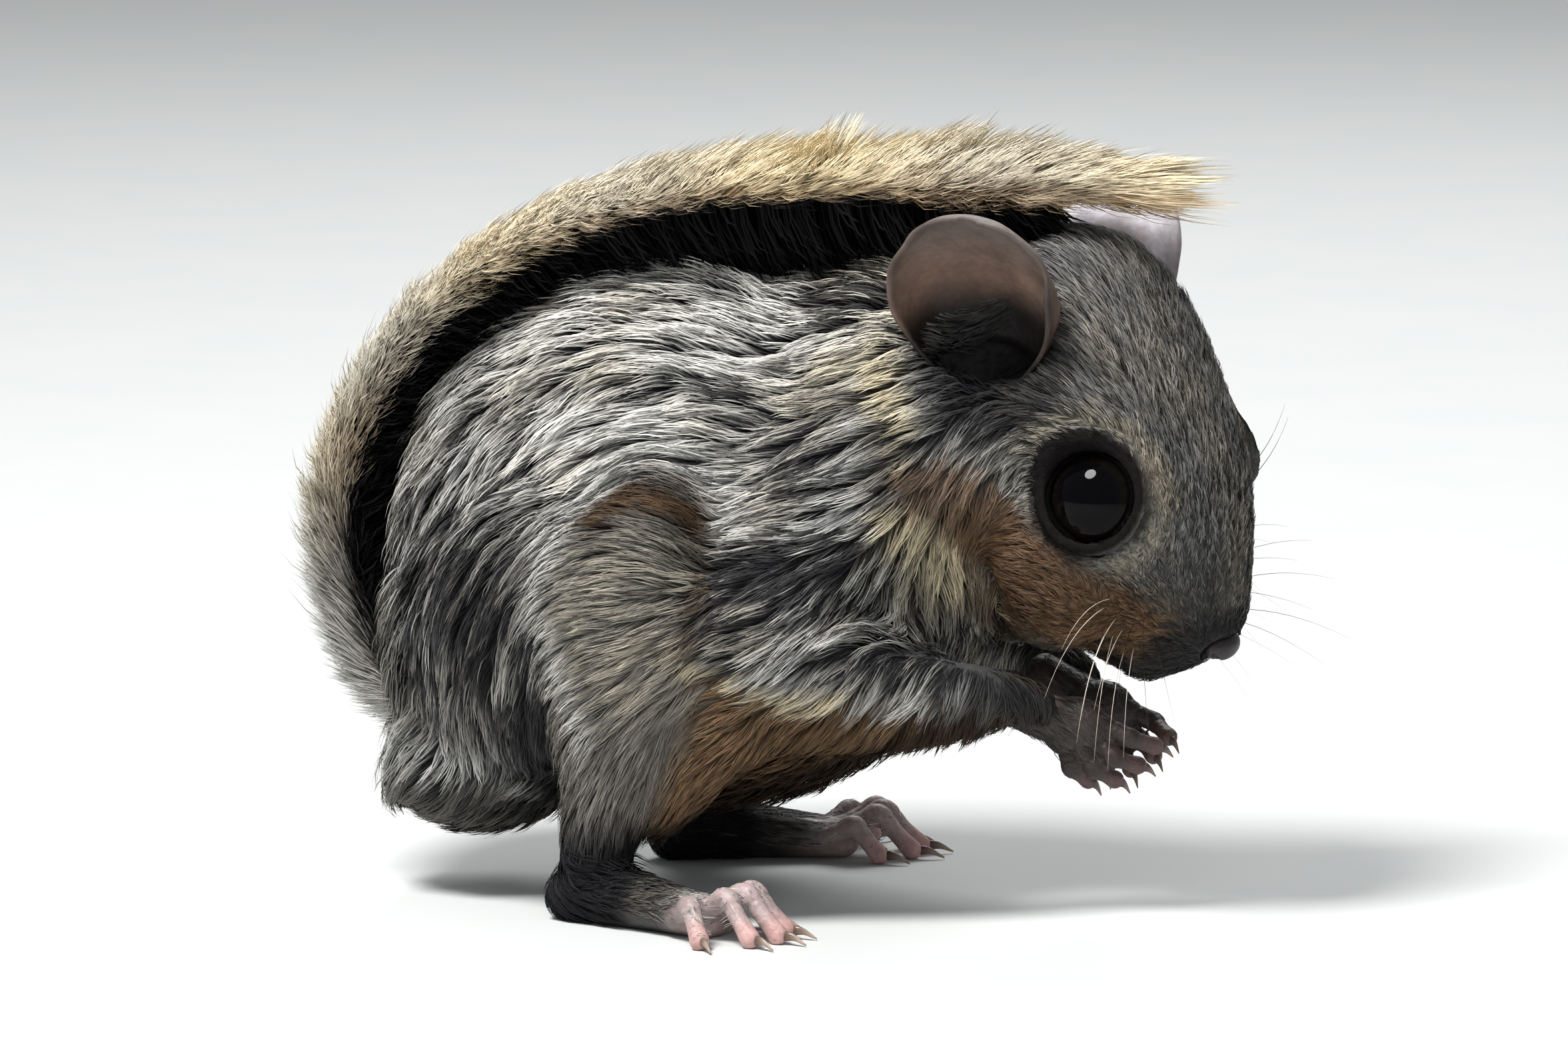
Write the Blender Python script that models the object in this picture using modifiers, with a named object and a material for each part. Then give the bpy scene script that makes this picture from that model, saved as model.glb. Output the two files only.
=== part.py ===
"""A southern flying squirrel at life size, crouched on its hind feet with both hands at its mouth.

It faces +X with its left side at +Y and stands on the plane z = 0. The broad tail is laid over the back.
Lengths are written in millimetres and scaled by MM to metres.
"""

import math
import random

import bmesh
import bpy
from mathutils import Matrix, Vector

MM = 0.001
GAP = 0.3
SIDES = {"right": -1, "left": 1}

# The trunk is four overlapping balls, each a middle and three semi-axes. The skirt is the low fur of the rump.
TRUNK = ((-5.0, 0, 31.5), (27.6, 18.5, 24.3))
RUMP = ((-20.5, 0, 22.0), (12.6, 16.5, 15.5))
SKIRT = ((-23.5, 0, 12.2), (9.6, 14.0, 7.6))
SHOULDERS = ((7.0, -0.5, 36.0), (17.0, 14.5, 19.5))

# The head points down and turns its crown a little to the right. Its places are (back, left, up) from the nose tip.
NOSE_TIP = (41.8, -3.0, 22.2)
HEAD_DOWN = 67.5
HEAD_TWIST = 20.0
# Each station of the head: distance behind the nose, half width, height above and depth below the nose's level.
HEAD_STATIONS = (
    (0.3, 1.7, 2.8, 4.2),
    (1.4, 3.1, 3.7, 7.6),
    (3.4, 4.6, 4.9, 10.4),
    (6.5, 6.3, 6.4, 11.8),
    (10.5, 8.4, 7.9, 12.5),
    (15.0, 10.2, 9.1, 12.9),
    (20.5, 11.6, 9.2, 13.2),
    (26.5, 12.0, 8.9, 12.8),
    (32.0, 11.0, 8.1, 11.6),
    (36.5, 8.4, 6.4, 8.8),
    (39.5, 4.4, 3.2, 4.6),
)
CHEEK = ((14.8, 6.9, -6.4), (9.4, 4.9, 6.2))
BROW = ((18.8, 6.0, 3.6), (5.4, 3.2, 2.8))
ORBIT = ((17.4, 7.4, -0.3), (6.8, 4.5, 5.9))
LIP_PAD = ((3.3, 2.3, -3.7), (3.1, 2.6, 4.1))
EYE_PLACE = (17.0, 7.3, 0.8)
EYE_FACES = (0.20, 0.90, 0.30)
EYE_RADIUS = 4.7
LID_RADIUS = 4.5
LID_THICKNESS = 0.8
LID_CLEARANCE = 0.45
LID_OPENING = 3.9
MOUTH_LEVEL = -7.6
MOUTH_BACK = 9.0
MOUTH_SLOPE = 1.2
MOUTH_DROOP = 0.018
MOUTH_HALF_SPAN = 12.0
NOSE_PAD = ((1.2, 0, 1.7), (1.5, 2.2, 1.6))
NOSTRIL = ((0.5, 1.3, 1.5), (0.8, 0.55, 0.4))

# Each ear is a thin cup: base on the head, the way it points, and the way its hollow faces.
EAR_BASE = {"right": (32.2, 10.7, -3.4), "left": (30.6, 8.8, -4.0)}
EAR_POINTS = {"right": (0.75, 0.36, 0.55), "left": (0.79, 0.54, 0.22)}
EAR_FACES = (-0.36, 0.86, 0.06)
EAR_LENGTH = 17.5
EAR_SUNK = 2.6
EAR_HALF_WIDTH = 7.4
EAR_FOOT_SHARE = 0.58
EAR_WIDEST = 0.50
EAR_CURL = (128, 52)
EAR_CUP = 0.75
EAR_THICKNESS = 0.65
EAR_GRID = 8

NECK = (((12.0, 0, 43.0), 14.5, 14.5), ((25.0, -1.0, 42.5), 13.0, 13.0))
NECK_CUT = ((10.5, 0, 44.0), (0.97, 0, 0.24))
NECK_CELL_RADIUS = 21.0
NECK_CELL_LENGTH = 26.0

# Limbs are tubes along points (x, out from the middle, z), with a half width and a half depth at each.
THIGH = (
    ((-20.0, 10.0, 22.0), 11.5, 7.5),
    ((-13.0, 14.0, 25.0), 12.5, 7.5),
    ((-7.0, 17.0, 30.0), 9.0, 6.0),
    ((-5.0, 18.4, 33.0), 5.0, 4.2),
)
SHANK = (
    ((-3.6, 18.6, 36.0), 3.6, 3.0),
    ((-5.4, 19.2, 31.5), 7.4, 4.6),
    ((-6.0, 19.2, 25.5), 7.4, 4.8),
    ((-6.6, 18.6, 19.0), 6.4, 4.4),
    ((-7.6, 17.8, 12.5), 5.0, 3.8),
    ((-9.2, 17.2, 6.6), 3.6, 3.0),
    ((-9.8, 17.0, 3.6), 2.6, 2.4),
)
UPPER_ARM = (
    ((14.0, 9.0, 41.0), 8.0, 7.0),
    ((9.0, 13.5, 34.0), 7.4, 5.6),
    ((4.0, 16.6, 26.5), 5.6, 4.6),
    ((2.6, 17.4, 23.4), 4.6, 4.2),
)
FOREARM = (
    ((2.2, 17.4, 23.6), 4.0, 3.6),
    ((8.0, 16.6, 23.0), 4.4, 3.8),
    ((15.0, 14.2, 22.1), 4.1, 3.5),
    ((22.3, 10.9, 20.8), 3.4, 2.9),
    ((27.8, 8.0, 19.2), 2.3, 2.0),
)
CELL_MARGIN = 0.9

# The gliding membrane is a soft fold from the wrist under the forearm and down the front of the shank.
MEMBRANE = (
    ((25.0, 9.2, 17.8), 0.8, 1.0),
    ((19.0, 12.4, 17.5), 1.1, 2.2),
    ((12.0, 15.4, 17.7), 1.3, 3.0),
    ((6.0, 17.6, 18.2), 1.5, 3.4),
    ((2.2, 18.9, 16.6), 1.5, 3.6),
    ((-0.6, 18.6, 12.6), 1.3, 3.0),
    ((-3.4, 17.8, 8.6), 0.9, 1.6),
)

# Hands hang at the chin. Each digit: where it roots, its knuckle and its tip, (x, out, z) from the wrist.
WRIST = (27.2, 6.6, 18.5)
PALM = ((2.8, -1.7, -1.9), (3.1, 1.8, 2.7))
HAND_DIGITS = (
    ((2.0, -1.3, -3.2), (2.6, -1.5, -5.4), (3.6, -3.4, -6.7)),
    ((3.4, -1.5, -3.4), (4.6, -1.5, -5.4), (5.9, -3.6, -6.6)),
    ((4.6, -1.7, -2.8), (6.3, -1.6, -4.4), (7.9, -3.7, -5.3)),
    ((5.2, -2.0, -1.6), (7.6, -2.0, -2.7), (9.3, -4.0, -3.6)),
)
HAND_DIGIT_RADIUS = 0.84
HAND_CLAW = 1.2

# Feet lie flat. Each digit: root, knuckle and tip, (x, out, z) from the heel, which rests at HEEL.
HEEL = (-12.0, 16.4, 0.0)
FOOT_YAW = 17.0
FOOT_SOLE = (
    ((0.6, 0.0, 2.2), 2.3, 2.3),
    ((4.5, 0.3, 2.4), 2.5, 2.5),
    ((10.0, 0.8, 2.0), 2.9, 2.1),
    ((15.2, 1.3, 1.6), 3.3, 1.7),
)
FOOT_DIGITS = (
    ((13.4, -1.2, 1.7), (16.2, -2.6, 3.2), (18.4, -3.6, 0.75)),
    ((14.6, 0.0, 1.9), (18.4, -0.6, 3.9), (21.4, -1.1, 0.75)),
    ((14.8, 1.3, 1.9), (19.0, 1.5, 4.0), (22.3, 1.6, 0.75)),
    ((14.6, 2.6, 1.9), (18.5, 3.8, 3.9), (21.4, 4.6, 0.75)),
    ((13.2, 3.6, 1.7), (16.2, 6.0, 3.3), (18.2, 7.6, 0.75)),
)
FOOT_DIGIT_RADIUS = 0.95
FOOT_CLAW = 1.7
CLAW_RADIUS = 0.36
SOLE_SLICE = 0.3

# The tail's middle line, from its root in the rump, up behind the back and forward over it.
TAIL_LINE = (
    (-26.5, 0, 14.5),
    (-32.4, 0, 17.5),
    (-35.6, 0, 25.0),
    (-36.5, 0, 33.0),
    (-34.9, 0, 40.6),
    (-31.0, 0, 47.6),
    (-25.3, 0, 53.4),
    (-18.6, 0, 57.8),
    (-11.0, 0, 60.8),
    (-2.8, -0.2, 62.4),
    (7.1, -0.7, 63.0),
    (16.9, -1.5, 63.5),
    (26.1, -2.4, 63.6),
    (34.0, -3.0, 63.2),
)
TAIL_SPLITS = (0.36, 0.70)
TAIL_STEPS = 26
TAIL_HALF_WIDTH = 11.8
TAIL_HALF_DEPTH = 3.5
TAIL_CORE_HALF_WIDTH = 5.2
TAIL_CORE_HALF_DEPTH = 1.7
TAIL_CORE_END = 0.93
# The walls that part the tail are this much either way across it and through it.
TAIL_CUT_HALF_SPAN = 16.0
TAIL_CUT_HALF_DEPTH = 8.0

# Locks run outward and tipward from beside the tail's midline, at an angle to it that closes as they go.
LOCK_PITCH = 7.0
LOCK_ROOT = 2.4
LOCK_ANGLE = 58.0
LOCK_BEND = 20.0
LOCK_HALF_BREADTH = 3.2
LOCK_HALF_THICKNESS = 0.6
LOCK_LIFT = 0.85
MIDLINE_REACH = 10.5
TIP_LOCKS = 7
TIP_LOCK_SPREAD = 15.0
TIP_LOCK_LENGTH = 9.5

# Triangles left in each fused skin before it is cut, and in the nodes after. An eyeball has EYE_RINGS rings.
BODY_TRIANGLES = 4200
HEAD_TRIANGLES = 2600
HAND_TRIANGLES = 400
FOOT_TRIANGLES = 460
MEMBRANE_TRIANGLES = 270
NODE_TRIANGLES = {
    "torso": 1400,
    "neck": 560,
    "thigh": 430,
    "shank": 430,
    "upper_arm": 430,
    "forearm": 310,
    "head": 1900,
    "jaw": 200,
}
EYE_RINGS = 10

FLESH_COLOUR = (0.36, 0.33, 0.29)
BUFF_COLOUR = (0.62, 0.50, 0.34)
BARE_COLOUR = (0.24, 0.17, 0.15)
TOE_COLOUR = (0.55, 0.42, 0.41)
EAR_COLOUR = (0.27, 0.19, 0.16)
EYE_COLOUR = (0.012, 0.010, 0.010)
NOSE_COLOUR = (0.10, 0.07, 0.065)
CLAW_COLOUR = (0.46, 0.38, 0.33)


def clear_scene():
    for obj in list(bpy.data.objects):
        bpy.data.objects.remove(obj)


def collection(name):
    made = bpy.data.collections.new(name)
    bpy.context.scene.collection.children.link(made)
    return made


def material(name, colour, roughness):
    made = bpy.data.materials.new(name)
    made.use_nodes = True
    shader = made.node_tree.nodes["Principled BSDF"]
    shader.inputs["Base Color"].default_value = (*colour, 1.0)
    shader.inputs["Roughness"].default_value = roughness
    shader.inputs["Metallic"].default_value = 0.0
    return made


def mirrored(point, side):
    """A place written for the left side, moved to the side asked for."""
    return Vector((point[0], point[1] * SIDES[side], point[2]))


def spline(points, share):
    """The place at a share from 0 to 1 of a smooth curve through vectors of any size."""
    place = min(max(share, 0.0), 1.0) * (len(points) - 1)
    i = min(int(place), len(points) - 2)
    t = place - i
    p0 = points[max(i - 1, 0)]
    p1 = points[i]
    p2 = points[i + 1]
    p3 = points[min(i + 2, len(points) - 1)]
    return 0.5 * (
        2 * p1
        + (p2 - p0) * t
        + (2 * p0 - 5 * p1 + 4 * p2 - p3) * t * t
        + (3 * p1 - p0 - 3 * p2 + p3) * t * t * t
    )


def new_object(name, form, where):
    """An object in a collection from a bmesh in millimetres, as triangles that face outward."""
    bmesh.ops.recalc_face_normals(form, faces=form.faces)
    bmesh.ops.triangulate(form, faces=form.faces)
    mesh = bpy.data.meshes.new(name)
    form.to_mesh(mesh)
    form.free()
    obj = bpy.data.objects.new(name, mesh)
    where.objects.link(obj)
    return obj


def loft(name, rings, where, tip=None):
    """A closed body through rings of equal count, its last end a flat face or drawn to a tip."""
    form = bmesh.new()
    loops = [[form.verts.new(point) for point in ring] for ring in rings]
    for first, second in zip(loops, loops[1:]):
        bridge(form, first, second)
    form.faces.new(loops[0])
    if tip is None:
        form.faces.new(loops[-1])
    else:
        point = form.verts.new(tip)
        for i, vert in enumerate(loops[-1]):
            form.faces.new((vert, loops[-1][i - 1], point))
    return new_object(name, form, where)


def bridge(form, first, second):
    """Quads between two loops of equal count."""
    for i in range(len(first)):
        j = (i + 1) % len(first)
        form.faces.new((first[i], first[j], second[j], second[i]))


def ellipse(middle, across, along, sides):
    turns = [2 * math.pi * i / sides for i in range(sides)]
    return [middle + across * math.cos(t) + along * math.sin(t) for t in turns]


def limb(name, stations, where, side, grow=0.0, steps=8, sides=12):
    """A round-ended tube through stations (place, half width, half depth), the depth lying across the body.

    What it grows by is added to its radii and its ends."""
    points = [mirrored(place, side) for place, _, _ in stations]
    radii = [Vector((wide, deep, 0)) for _, wide, deep in stations]
    ends = 2
    rings = []
    for i in range(-ends, steps + ends + 1):
        share = min(max(i / steps, 0.0), 1.0)
        ahead = (spline(points, min(share + 0.02, 1.0)) - spline(points, max(share - 0.02, 0.0))).normalized()
        radius = spline(radii, share)
        wide, deep = radius.x + grow, radius.y + grow
        past = max(-i, i - steps, 0) / (ends + 0.25)
        end = -1 if i < 0 else 1
        middle = spline(points, share) + ahead * end * past * min(wide, deep)
        depth_way = (Vector((0, 1, 0)) - ahead * ahead.y).normalized()
        width_way = ahead.cross(depth_way).normalized()
        shrink = math.sqrt(1 - past * past)
        rings.append(ellipse(middle, width_way * wide * shrink, depth_way * deep * shrink, sides))
    return loft(name, rings, where)


def ball(name, middle, axes, where, turn=None, rings=12):
    """An ellipsoid, turned by a rotation matrix if one is given."""
    form = bmesh.new()
    bmesh.ops.create_uvsphere(form, u_segments=rings + 4, v_segments=rings, radius=1.0)
    place = Matrix.Translation(Vector(middle))
    if turn is not None:
        place = place @ turn.to_4x4()
    bmesh.ops.transform(form, matrix=place @ Matrix.Diagonal((*axes, 1.0)), verts=form.verts)
    return new_object(name, form, where)


def apply_modifiers(obj):
    graph = bpy.context.evaluated_depsgraph_get()
    made = bpy.data.meshes.new_from_object(obj.evaluated_get(graph))
    obj.modifiers.clear()
    obj.data = made


def fused(name, forms, where, voxel, smooth_steps, triangles):
    """Forms melted into one soft skin of about as many triangles as asked for. The forms are removed."""
    shells = bmesh.new()
    for form in forms:
        shells.from_mesh(form.data)
        bpy.data.objects.remove(form)
    obj = new_object(name, shells, where)
    remesh = obj.modifiers.new("melt", "REMESH")
    remesh.mode = "VOXEL"
    remesh.voxel_size = voxel
    smooth = obj.modifiers.new("smooth", "SMOOTH")
    smooth.factor = 0.5
    smooth.iterations = smooth_steps
    apply_modifiers(obj)
    thin(obj, triangles)
    return obj


def thin(obj, triangles):
    """Leaves about as many triangles as asked for, where there are more."""
    present = sum(len(face.vertices) - 2 for face in obj.data.polygons)
    if present > triangles:
        decimate = obj.modifiers.new("thin", "DECIMATE")
        decimate.ratio = triangles / present
        decimate.use_collapse_triangulate = True
        apply_modifiers(obj)


def grown(obj, by, where):
    """A copy whose skin stands further out by a small distance."""
    form = bmesh.new()
    form.from_mesh(obj.data)
    form.normal_update()
    moves = [vert.normal * by * vert.calc_shell_factor() for vert in form.verts]
    for vert, move in zip(form.verts, moves):
        vert.co += move
    return new_object(obj.name + "_grown", form, where)


def boolean(obj, other, operation):
    modifier = obj.modifiers.new(operation.lower(), "BOOLEAN")
    modifier.operation = operation
    modifier.solver = "MANIFOLD"
    modifier.object = other
    apply_modifiers(obj)


def subtract(obj, cutters):
    """Cuts the cutters from obj and removes them."""
    for cutter in cutters:
        boolean(obj, cutter, "DIFFERENCE")
        bpy.data.objects.remove(cutter)


def islands_of(form):
    """The connected groups of faces in a bmesh, largest volume first."""
    groups = []
    left = set(form.faces)
    while left:
        seed = left.pop()
        group = [seed]
        stack = [seed]
        while stack:
            for edge in stack.pop().edges:
                for other in edge.link_faces:
                    if other in left:
                        left.remove(other)
                        group.append(other)
                        stack.append(other)
        groups.append(group)
    return sorted(groups, key=volume_of, reverse=True)


def volume_of(faces):
    """Six times the volume that a closed group of faces holds."""
    total = 0.0
    for face in faces:
        corners = [vert.co for vert in face.verts]
        for i in range(1, len(corners) - 1):
            total += corners[0].dot(corners[i].cross(corners[i + 1]))
    return total


def island(obj, rank):
    """A bmesh of one of an object's islands, 0 the largest."""
    form = bmesh.new()
    form.from_mesh(obj.data)
    groups = islands_of(form)
    dropped = [face for i, group in enumerate(groups) if i != rank for face in group]
    if dropped:
        bmesh.ops.delete(form, geom=dropped, context="FACES")
    return form


def keep_island(obj, rank=0):
    form = island(obj, rank)
    bmesh.ops.triangulate(form, faces=form.faces)
    form.to_mesh(obj.data)
    form.free()


def copy_of(obj, name, where):
    made = bpy.data.objects.new(name, obj.data.copy())
    where.objects.link(made)
    return made


def head_frame():
    turn = Matrix.Rotation(math.radians(HEAD_DOWN), 4, "Y") @ Matrix.Rotation(math.radians(HEAD_TWIST), 4, "X")
    return Matrix.Translation(Vector(NOSE_TIP)) @ turn


def on_head(place, side="left"):
    """A place (behind the nose, out, up) on a side of the head, in the body's frame."""
    return head_frame() @ Vector((-place[0], place[1] * SIDES[side], place[2]))


def head_way(way, side="left"):
    """A direction (back, out, up) on a side of the head, in the body's frame."""
    return (head_frame().to_3x3() @ Vector((-way[0], way[1] * SIDES[side], way[2]))).normalized()


def head_ball(name, middle, axes, where, side="left", rings=10):
    return ball(name, on_head(middle, side), axes, where, head_frame().to_3x3(), rings)


def head_loft(where):
    across = head_way((0, 1, 0))
    up = head_way((0, 0, 1))
    stations = [Vector(station) for station in HEAD_STATIONS]
    rings = []
    for i in range(31):
        back, wide, above, below = spline(stations, i / 30)
        middle = on_head((back, 0, 0))
        ring = []
        for k in range(24):
            turn = 2 * math.pi * k / 24
            rise = math.sin(turn)
            ring.append(middle + across * wide * math.cos(turn) + up * rise * (above if rise > 0 else below))
        rings.append(ring)
    return loft("head_form", rings, where)


def lid_ring(side, where):
    """The bare rim of the lids round an eye, standing on the eyeball's outer side."""
    way = head_way(EYE_FACES, side)
    turn = way.to_track_quat("Z", "Y").to_matrix()
    rise = math.sqrt((EYE_RADIUS + GAP + LID_CLEARANCE) ** 2 - LID_RADIUS**2)
    middle = on_head(EYE_PLACE, side) + way * rise
    form = bmesh.new()
    loops = []
    for point in ellipse(Vector(), Vector((1, 0, 0)), Vector((0, 1, 0)), 24):
        out = turn @ point
        ring = ellipse(middle + out * LID_RADIUS, out * LID_THICKNESS, way * LID_THICKNESS, 8)
        loops.append([form.verts.new(place) for place in ring])
    for first, second in zip(loops, loops[1:] + loops[:1]):
        bridge(form, first, second)
    return new_object("lid_form", form, where)


def lid_window(side, where):
    """The round way in between the lids, a little wider outward."""
    way = head_way(EYE_FACES, side)
    turn = way.to_track_quat("Z", "Y").to_matrix()
    rings = []
    for far, radius in ((1.5, LID_OPENING), (3.4, LID_OPENING), (9.0, LID_OPENING * 1.5)):
        across, along = turn @ Vector((radius, 0, 0)), turn @ Vector((0, radius, 0))
        rings.append(ellipse(on_head(EYE_PLACE, side) + way * far, across, along, 20))
    return loft("lid_window", rings, where)


def mouth_cutter(where):
    """A thin bent sheet that parts the lower jaw from the face along the line of the mouth."""
    back = head_way((1, 0, 0)) * GAP
    down = head_way((0, 0, -1)) * GAP
    rings = []
    for i in range(9):
        y = MOUTH_HALF_SPAN * (i / 4 - 1)
        droop = MOUTH_DROOP * y * y
        front = on_head((-2.0, y, MOUTH_LEVEL - droop))
        corner = on_head((MOUTH_BACK, y, MOUTH_LEVEL - MOUTH_SLOPE - droop))
        low = on_head((MOUTH_BACK + 1.5, y, MOUTH_LEVEL - 18.0))
        rings.append([front, corner + back, low + back, low, corner + down, front + down])
    return loft("mouth_cutter", rings, where)


def make_head(where, helpers):
    """The head and its jaw, and the uncut head, which shapes what meets it."""
    forms = [head_loft(helpers)]
    for side in SIDES:
        forms.append(head_ball("cheek_form", *CHEEK, helpers, side))
        forms.append(head_ball("brow_form", *BROW, helpers, side))
        forms.append(head_ball("orbit_form", *ORBIT, helpers, side))
        forms.append(head_ball("lip_form", *LIP_PAD, helpers, side))
        forms.append(lid_ring(side, helpers))
    head = fused("head", forms, where, 0.45, 4, HEAD_TRIANGLES)
    whole = copy_of(head, "whole_head", helpers)
    for side in SIDES:
        subtract(head, [ball("socket", on_head(EYE_PLACE, side), [EYE_RADIUS + GAP] * 3, helpers, rings=EYE_RINGS)])
        subtract(head, [lid_window(side, helpers)])
    subtract(head, [head_ball("nose_bed", NOSE_PAD[0], [a + GAP for a in NOSE_PAD[1]], helpers)])
    subtract(head, [mouth_cutter(helpers)])
    jaw = copy_of(head, "jaw", where)
    keep_island(head)
    keep_island(jaw, 1)
    return head, jaw, whole


def make_nose(where, helpers):
    nose = head_ball("nose", *NOSE_PAD, where, rings=8)
    for side in SIDES:
        subtract(nose, [head_ball("nostril", *NOSTRIL, helpers, side, rings=5)])
    keep_island(nose)
    return nose


def ear_half_width(share):
    """Half the ear's width at a share of its height: broad at the middle, round at the top."""
    if share < EAR_WIDEST:
        return EAR_HALF_WIDTH * (EAR_FOOT_SHARE + (1 - EAR_FOOT_SHARE) * math.sin(share / EAR_WIDEST * math.pi / 2))
    return EAR_HALF_WIDTH * math.sqrt(max(1 - ((share - EAR_WIDEST) / (1 - EAR_WIDEST)) ** 2.3, 0.012))


def make_ear(side, where, helpers, whole_head, neck):
    """A rounded leaf bent into a cup, rolled more at its foot, as a thin closed shell."""
    tall = head_way(EAR_POINTS[side], side)
    faces = head_way(EAR_FACES, side)
    faces = (faces - tall * faces.dot(tall)).normalized()
    across = tall.cross(faces).normalized()
    base = on_head(EAR_BASE[side], side) - tall * EAR_SUNK
    rows = columns = EAR_GRID
    form = bmesh.new()
    grid = []
    for r in range(rows + 1):
        share = 1 - (1 - r / rows) ** 1.5
        half = ear_half_width(share)
        curl = math.radians(EAR_CURL[0] + (EAR_CURL[1] - EAR_CURL[0]) * share**0.8)
        radius = half / (math.sin(curl) if curl < math.pi / 2 else 1.0)
        row = []
        for c in range(columns + 1):
            turn = curl * (2 * c / columns - 1)
            sink = -radius * (math.cos(turn) - math.cos(curl)) * EAR_CUP
            row.append(
                form.verts.new(
                    base + tall * EAR_LENGTH * share + across * radius * math.sin(turn) + faces * sink
                )
            )
        grid.append(row)
    for low, high in zip(grid, grid[1:]):
        for c in range(columns):
            form.faces.new((low[c], low[c + 1], high[c + 1], high[c]))
    ear = new_object("ear_" + side, form, where)
    solidify = ear.modifiers.new("shell", "SOLIDIFY")
    solidify.thickness = EAR_THICKNESS
    solidify.offset = 0.0
    apply_modifiers(ear)
    subtract(ear, [grown(whole_head, GAP, helpers), grown(neck, GAP, helpers)])
    keep_island(ear)
    return ear


def neck_cell(grow, where):
    """A short flat-ended cylinder that holds the neck."""
    along = Vector(NECK_CUT[1]).normalized()
    start = Vector(NECK_CUT[0]) - along * grow
    up = along.cross(Vector((0, 1, 0)))
    radius = NECK_CELL_RADIUS + grow
    rings = [ellipse(start + along * far, up * radius, Vector((0, radius, 0)), 12) for far in (0, NECK_CELL_LENGTH)]
    return loft("neck_cell", rings, where)


def make_body(where, helpers, whole_head):
    """The trunk, neck and limbs melted together, then parted along the surfaces of the limbs."""
    limbs = (("forearm", FOREARM), ("upper_arm", UPPER_ARM), ("shank", SHANK), ("thigh", THIGH))
    forms = [ball("trunk_form", middle, axes, helpers, rings=20) for middle, axes in (TRUNK, RUMP, SKIRT, SHOULDERS)]
    forms.append(limb("neck_form", NECK, helpers, "left"))
    for side in SIDES:
        forms += [limb(name + "_form", stations, helpers, side, steps=14, sides=16) for name, stations in limbs]
    torso = fused("torso", forms, where, 0.8, 10, BODY_TRIANGLES)
    subtract(torso, [grown(whole_head, GAP, helpers)])
    keep_island(torso)

    cells = []
    for side in SIDES:
        for name, stations in limbs:
            cells.append((name + "_" + side, lambda grow, s=stations, d=side: limb("cell", s, helpers, d, grow)))
    cells.append(("neck", lambda grow: neck_cell(grow, helpers)))
    made = {}
    for i, (name, cell) in enumerate(cells):
        node = copy_of(torso, name, where)
        inside = cell(CELL_MARGIN)
        boolean(node, inside, "INTERSECT")
        bpy.data.objects.remove(inside)
        subtract(node, [earlier(CELL_MARGIN + GAP) for _, earlier in cells[:i]])
        keep_island(node)
        made[name] = node
    subtract(torso, [cell(CELL_MARGIN + GAP) for _, cell in cells])
    keep_island(torso)
    made["torso"] = torso
    return made


def digit_stations(start, digit, radius):
    root, knuckle, tip = (start + Vector(place) for place in digit)
    return (
        (tuple(root), radius * 1.2, radius * 1.1),
        (tuple(root.lerp(knuckle, 0.6)), radius, radius),
        (tuple(knuckle), radius * 1.05, radius),
        (tuple(knuckle.lerp(tip, 0.55)), radius * 0.92, radius * 0.92),
        (tuple(tip), radius * 0.9, radius * 0.88),
    )


def make_hand(side, where, helpers):
    wrist = Vector(WRIST)
    palm = wrist + Vector(PALM[0])
    forms = [ball("palm_form", mirrored(palm, side), PALM[1], helpers, rings=10)]
    arm = ((tuple(wrist + Vector((-2.2, 0.6, 0.5))), 1.9, 1.7), (tuple(palm), 2.2, 1.6))
    forms.append(limb("wrist_form", arm, helpers, side))
    for digit in HAND_DIGITS:
        forms.append(limb("digit_form", digit_stations(wrist, digit, HAND_DIGIT_RADIUS), helpers, side))
    return fused("hand_" + side, forms, where, 0.28, 2, HAND_TRIANGLES)


def turned_out(place):
    """A place in the foot's own frame, turned outward about the heel."""
    return Matrix.Rotation(math.radians(FOOT_YAW), 3, "Z") @ Vector(place)


def foot_digits():
    return [tuple(turned_out(place) for place in digit) for digit in FOOT_DIGITS]


def make_foot(side, where, helpers):
    heel = Vector(HEEL)
    sole = [(tuple(heel + turned_out(place)), tall, wide) for place, wide, tall in FOOT_SOLE]
    forms = [limb("sole_form", sole, helpers, side)]
    ankle = ((tuple(heel + Vector((1.2, 0.2, 2.8))), 2.4, 2.3), (SHANK[-1][0], 2.6, 2.4), (SHANK[-2][0], 3.0, 2.5))
    forms.append(limb("ankle_form", ankle, helpers, side))
    for digit in foot_digits():
        forms.append(limb("digit_form", digit_stations(heel, digit, FOOT_DIGIT_RADIUS), helpers, side))
    foot = fused("foot_" + side, forms, where, 0.36, 2, FOOT_TRIANGLES)
    stand_flat(foot)
    return foot


def stand_flat(obj):
    """Cuts off a thin slice at the floor and draws the rest down to it, for small flats at one level."""
    form = bmesh.new()
    form.from_mesh(obj.data)
    geometry = form.verts[:] + form.edges[:] + form.faces[:]
    cut = bmesh.ops.bisect_plane(
        form, geom=geometry, plane_co=(0, 0, SOLE_SLICE), plane_no=(0, 0, -1), clear_outer=True
    )
    edges = [item for item in cut["geom_cut"] if isinstance(item, bmesh.types.BMEdge)]
    bmesh.ops.holes_fill(form, edges=edges)
    bmesh.ops.triangulate(form, faces=form.faces)
    for vert in form.verts:
        vert.co.z -= SOLE_SLICE * max(0.0, 1 - (vert.co.z - SOLE_SLICE) / 2.0)
    form.to_mesh(obj.data)
    form.free()


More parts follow.
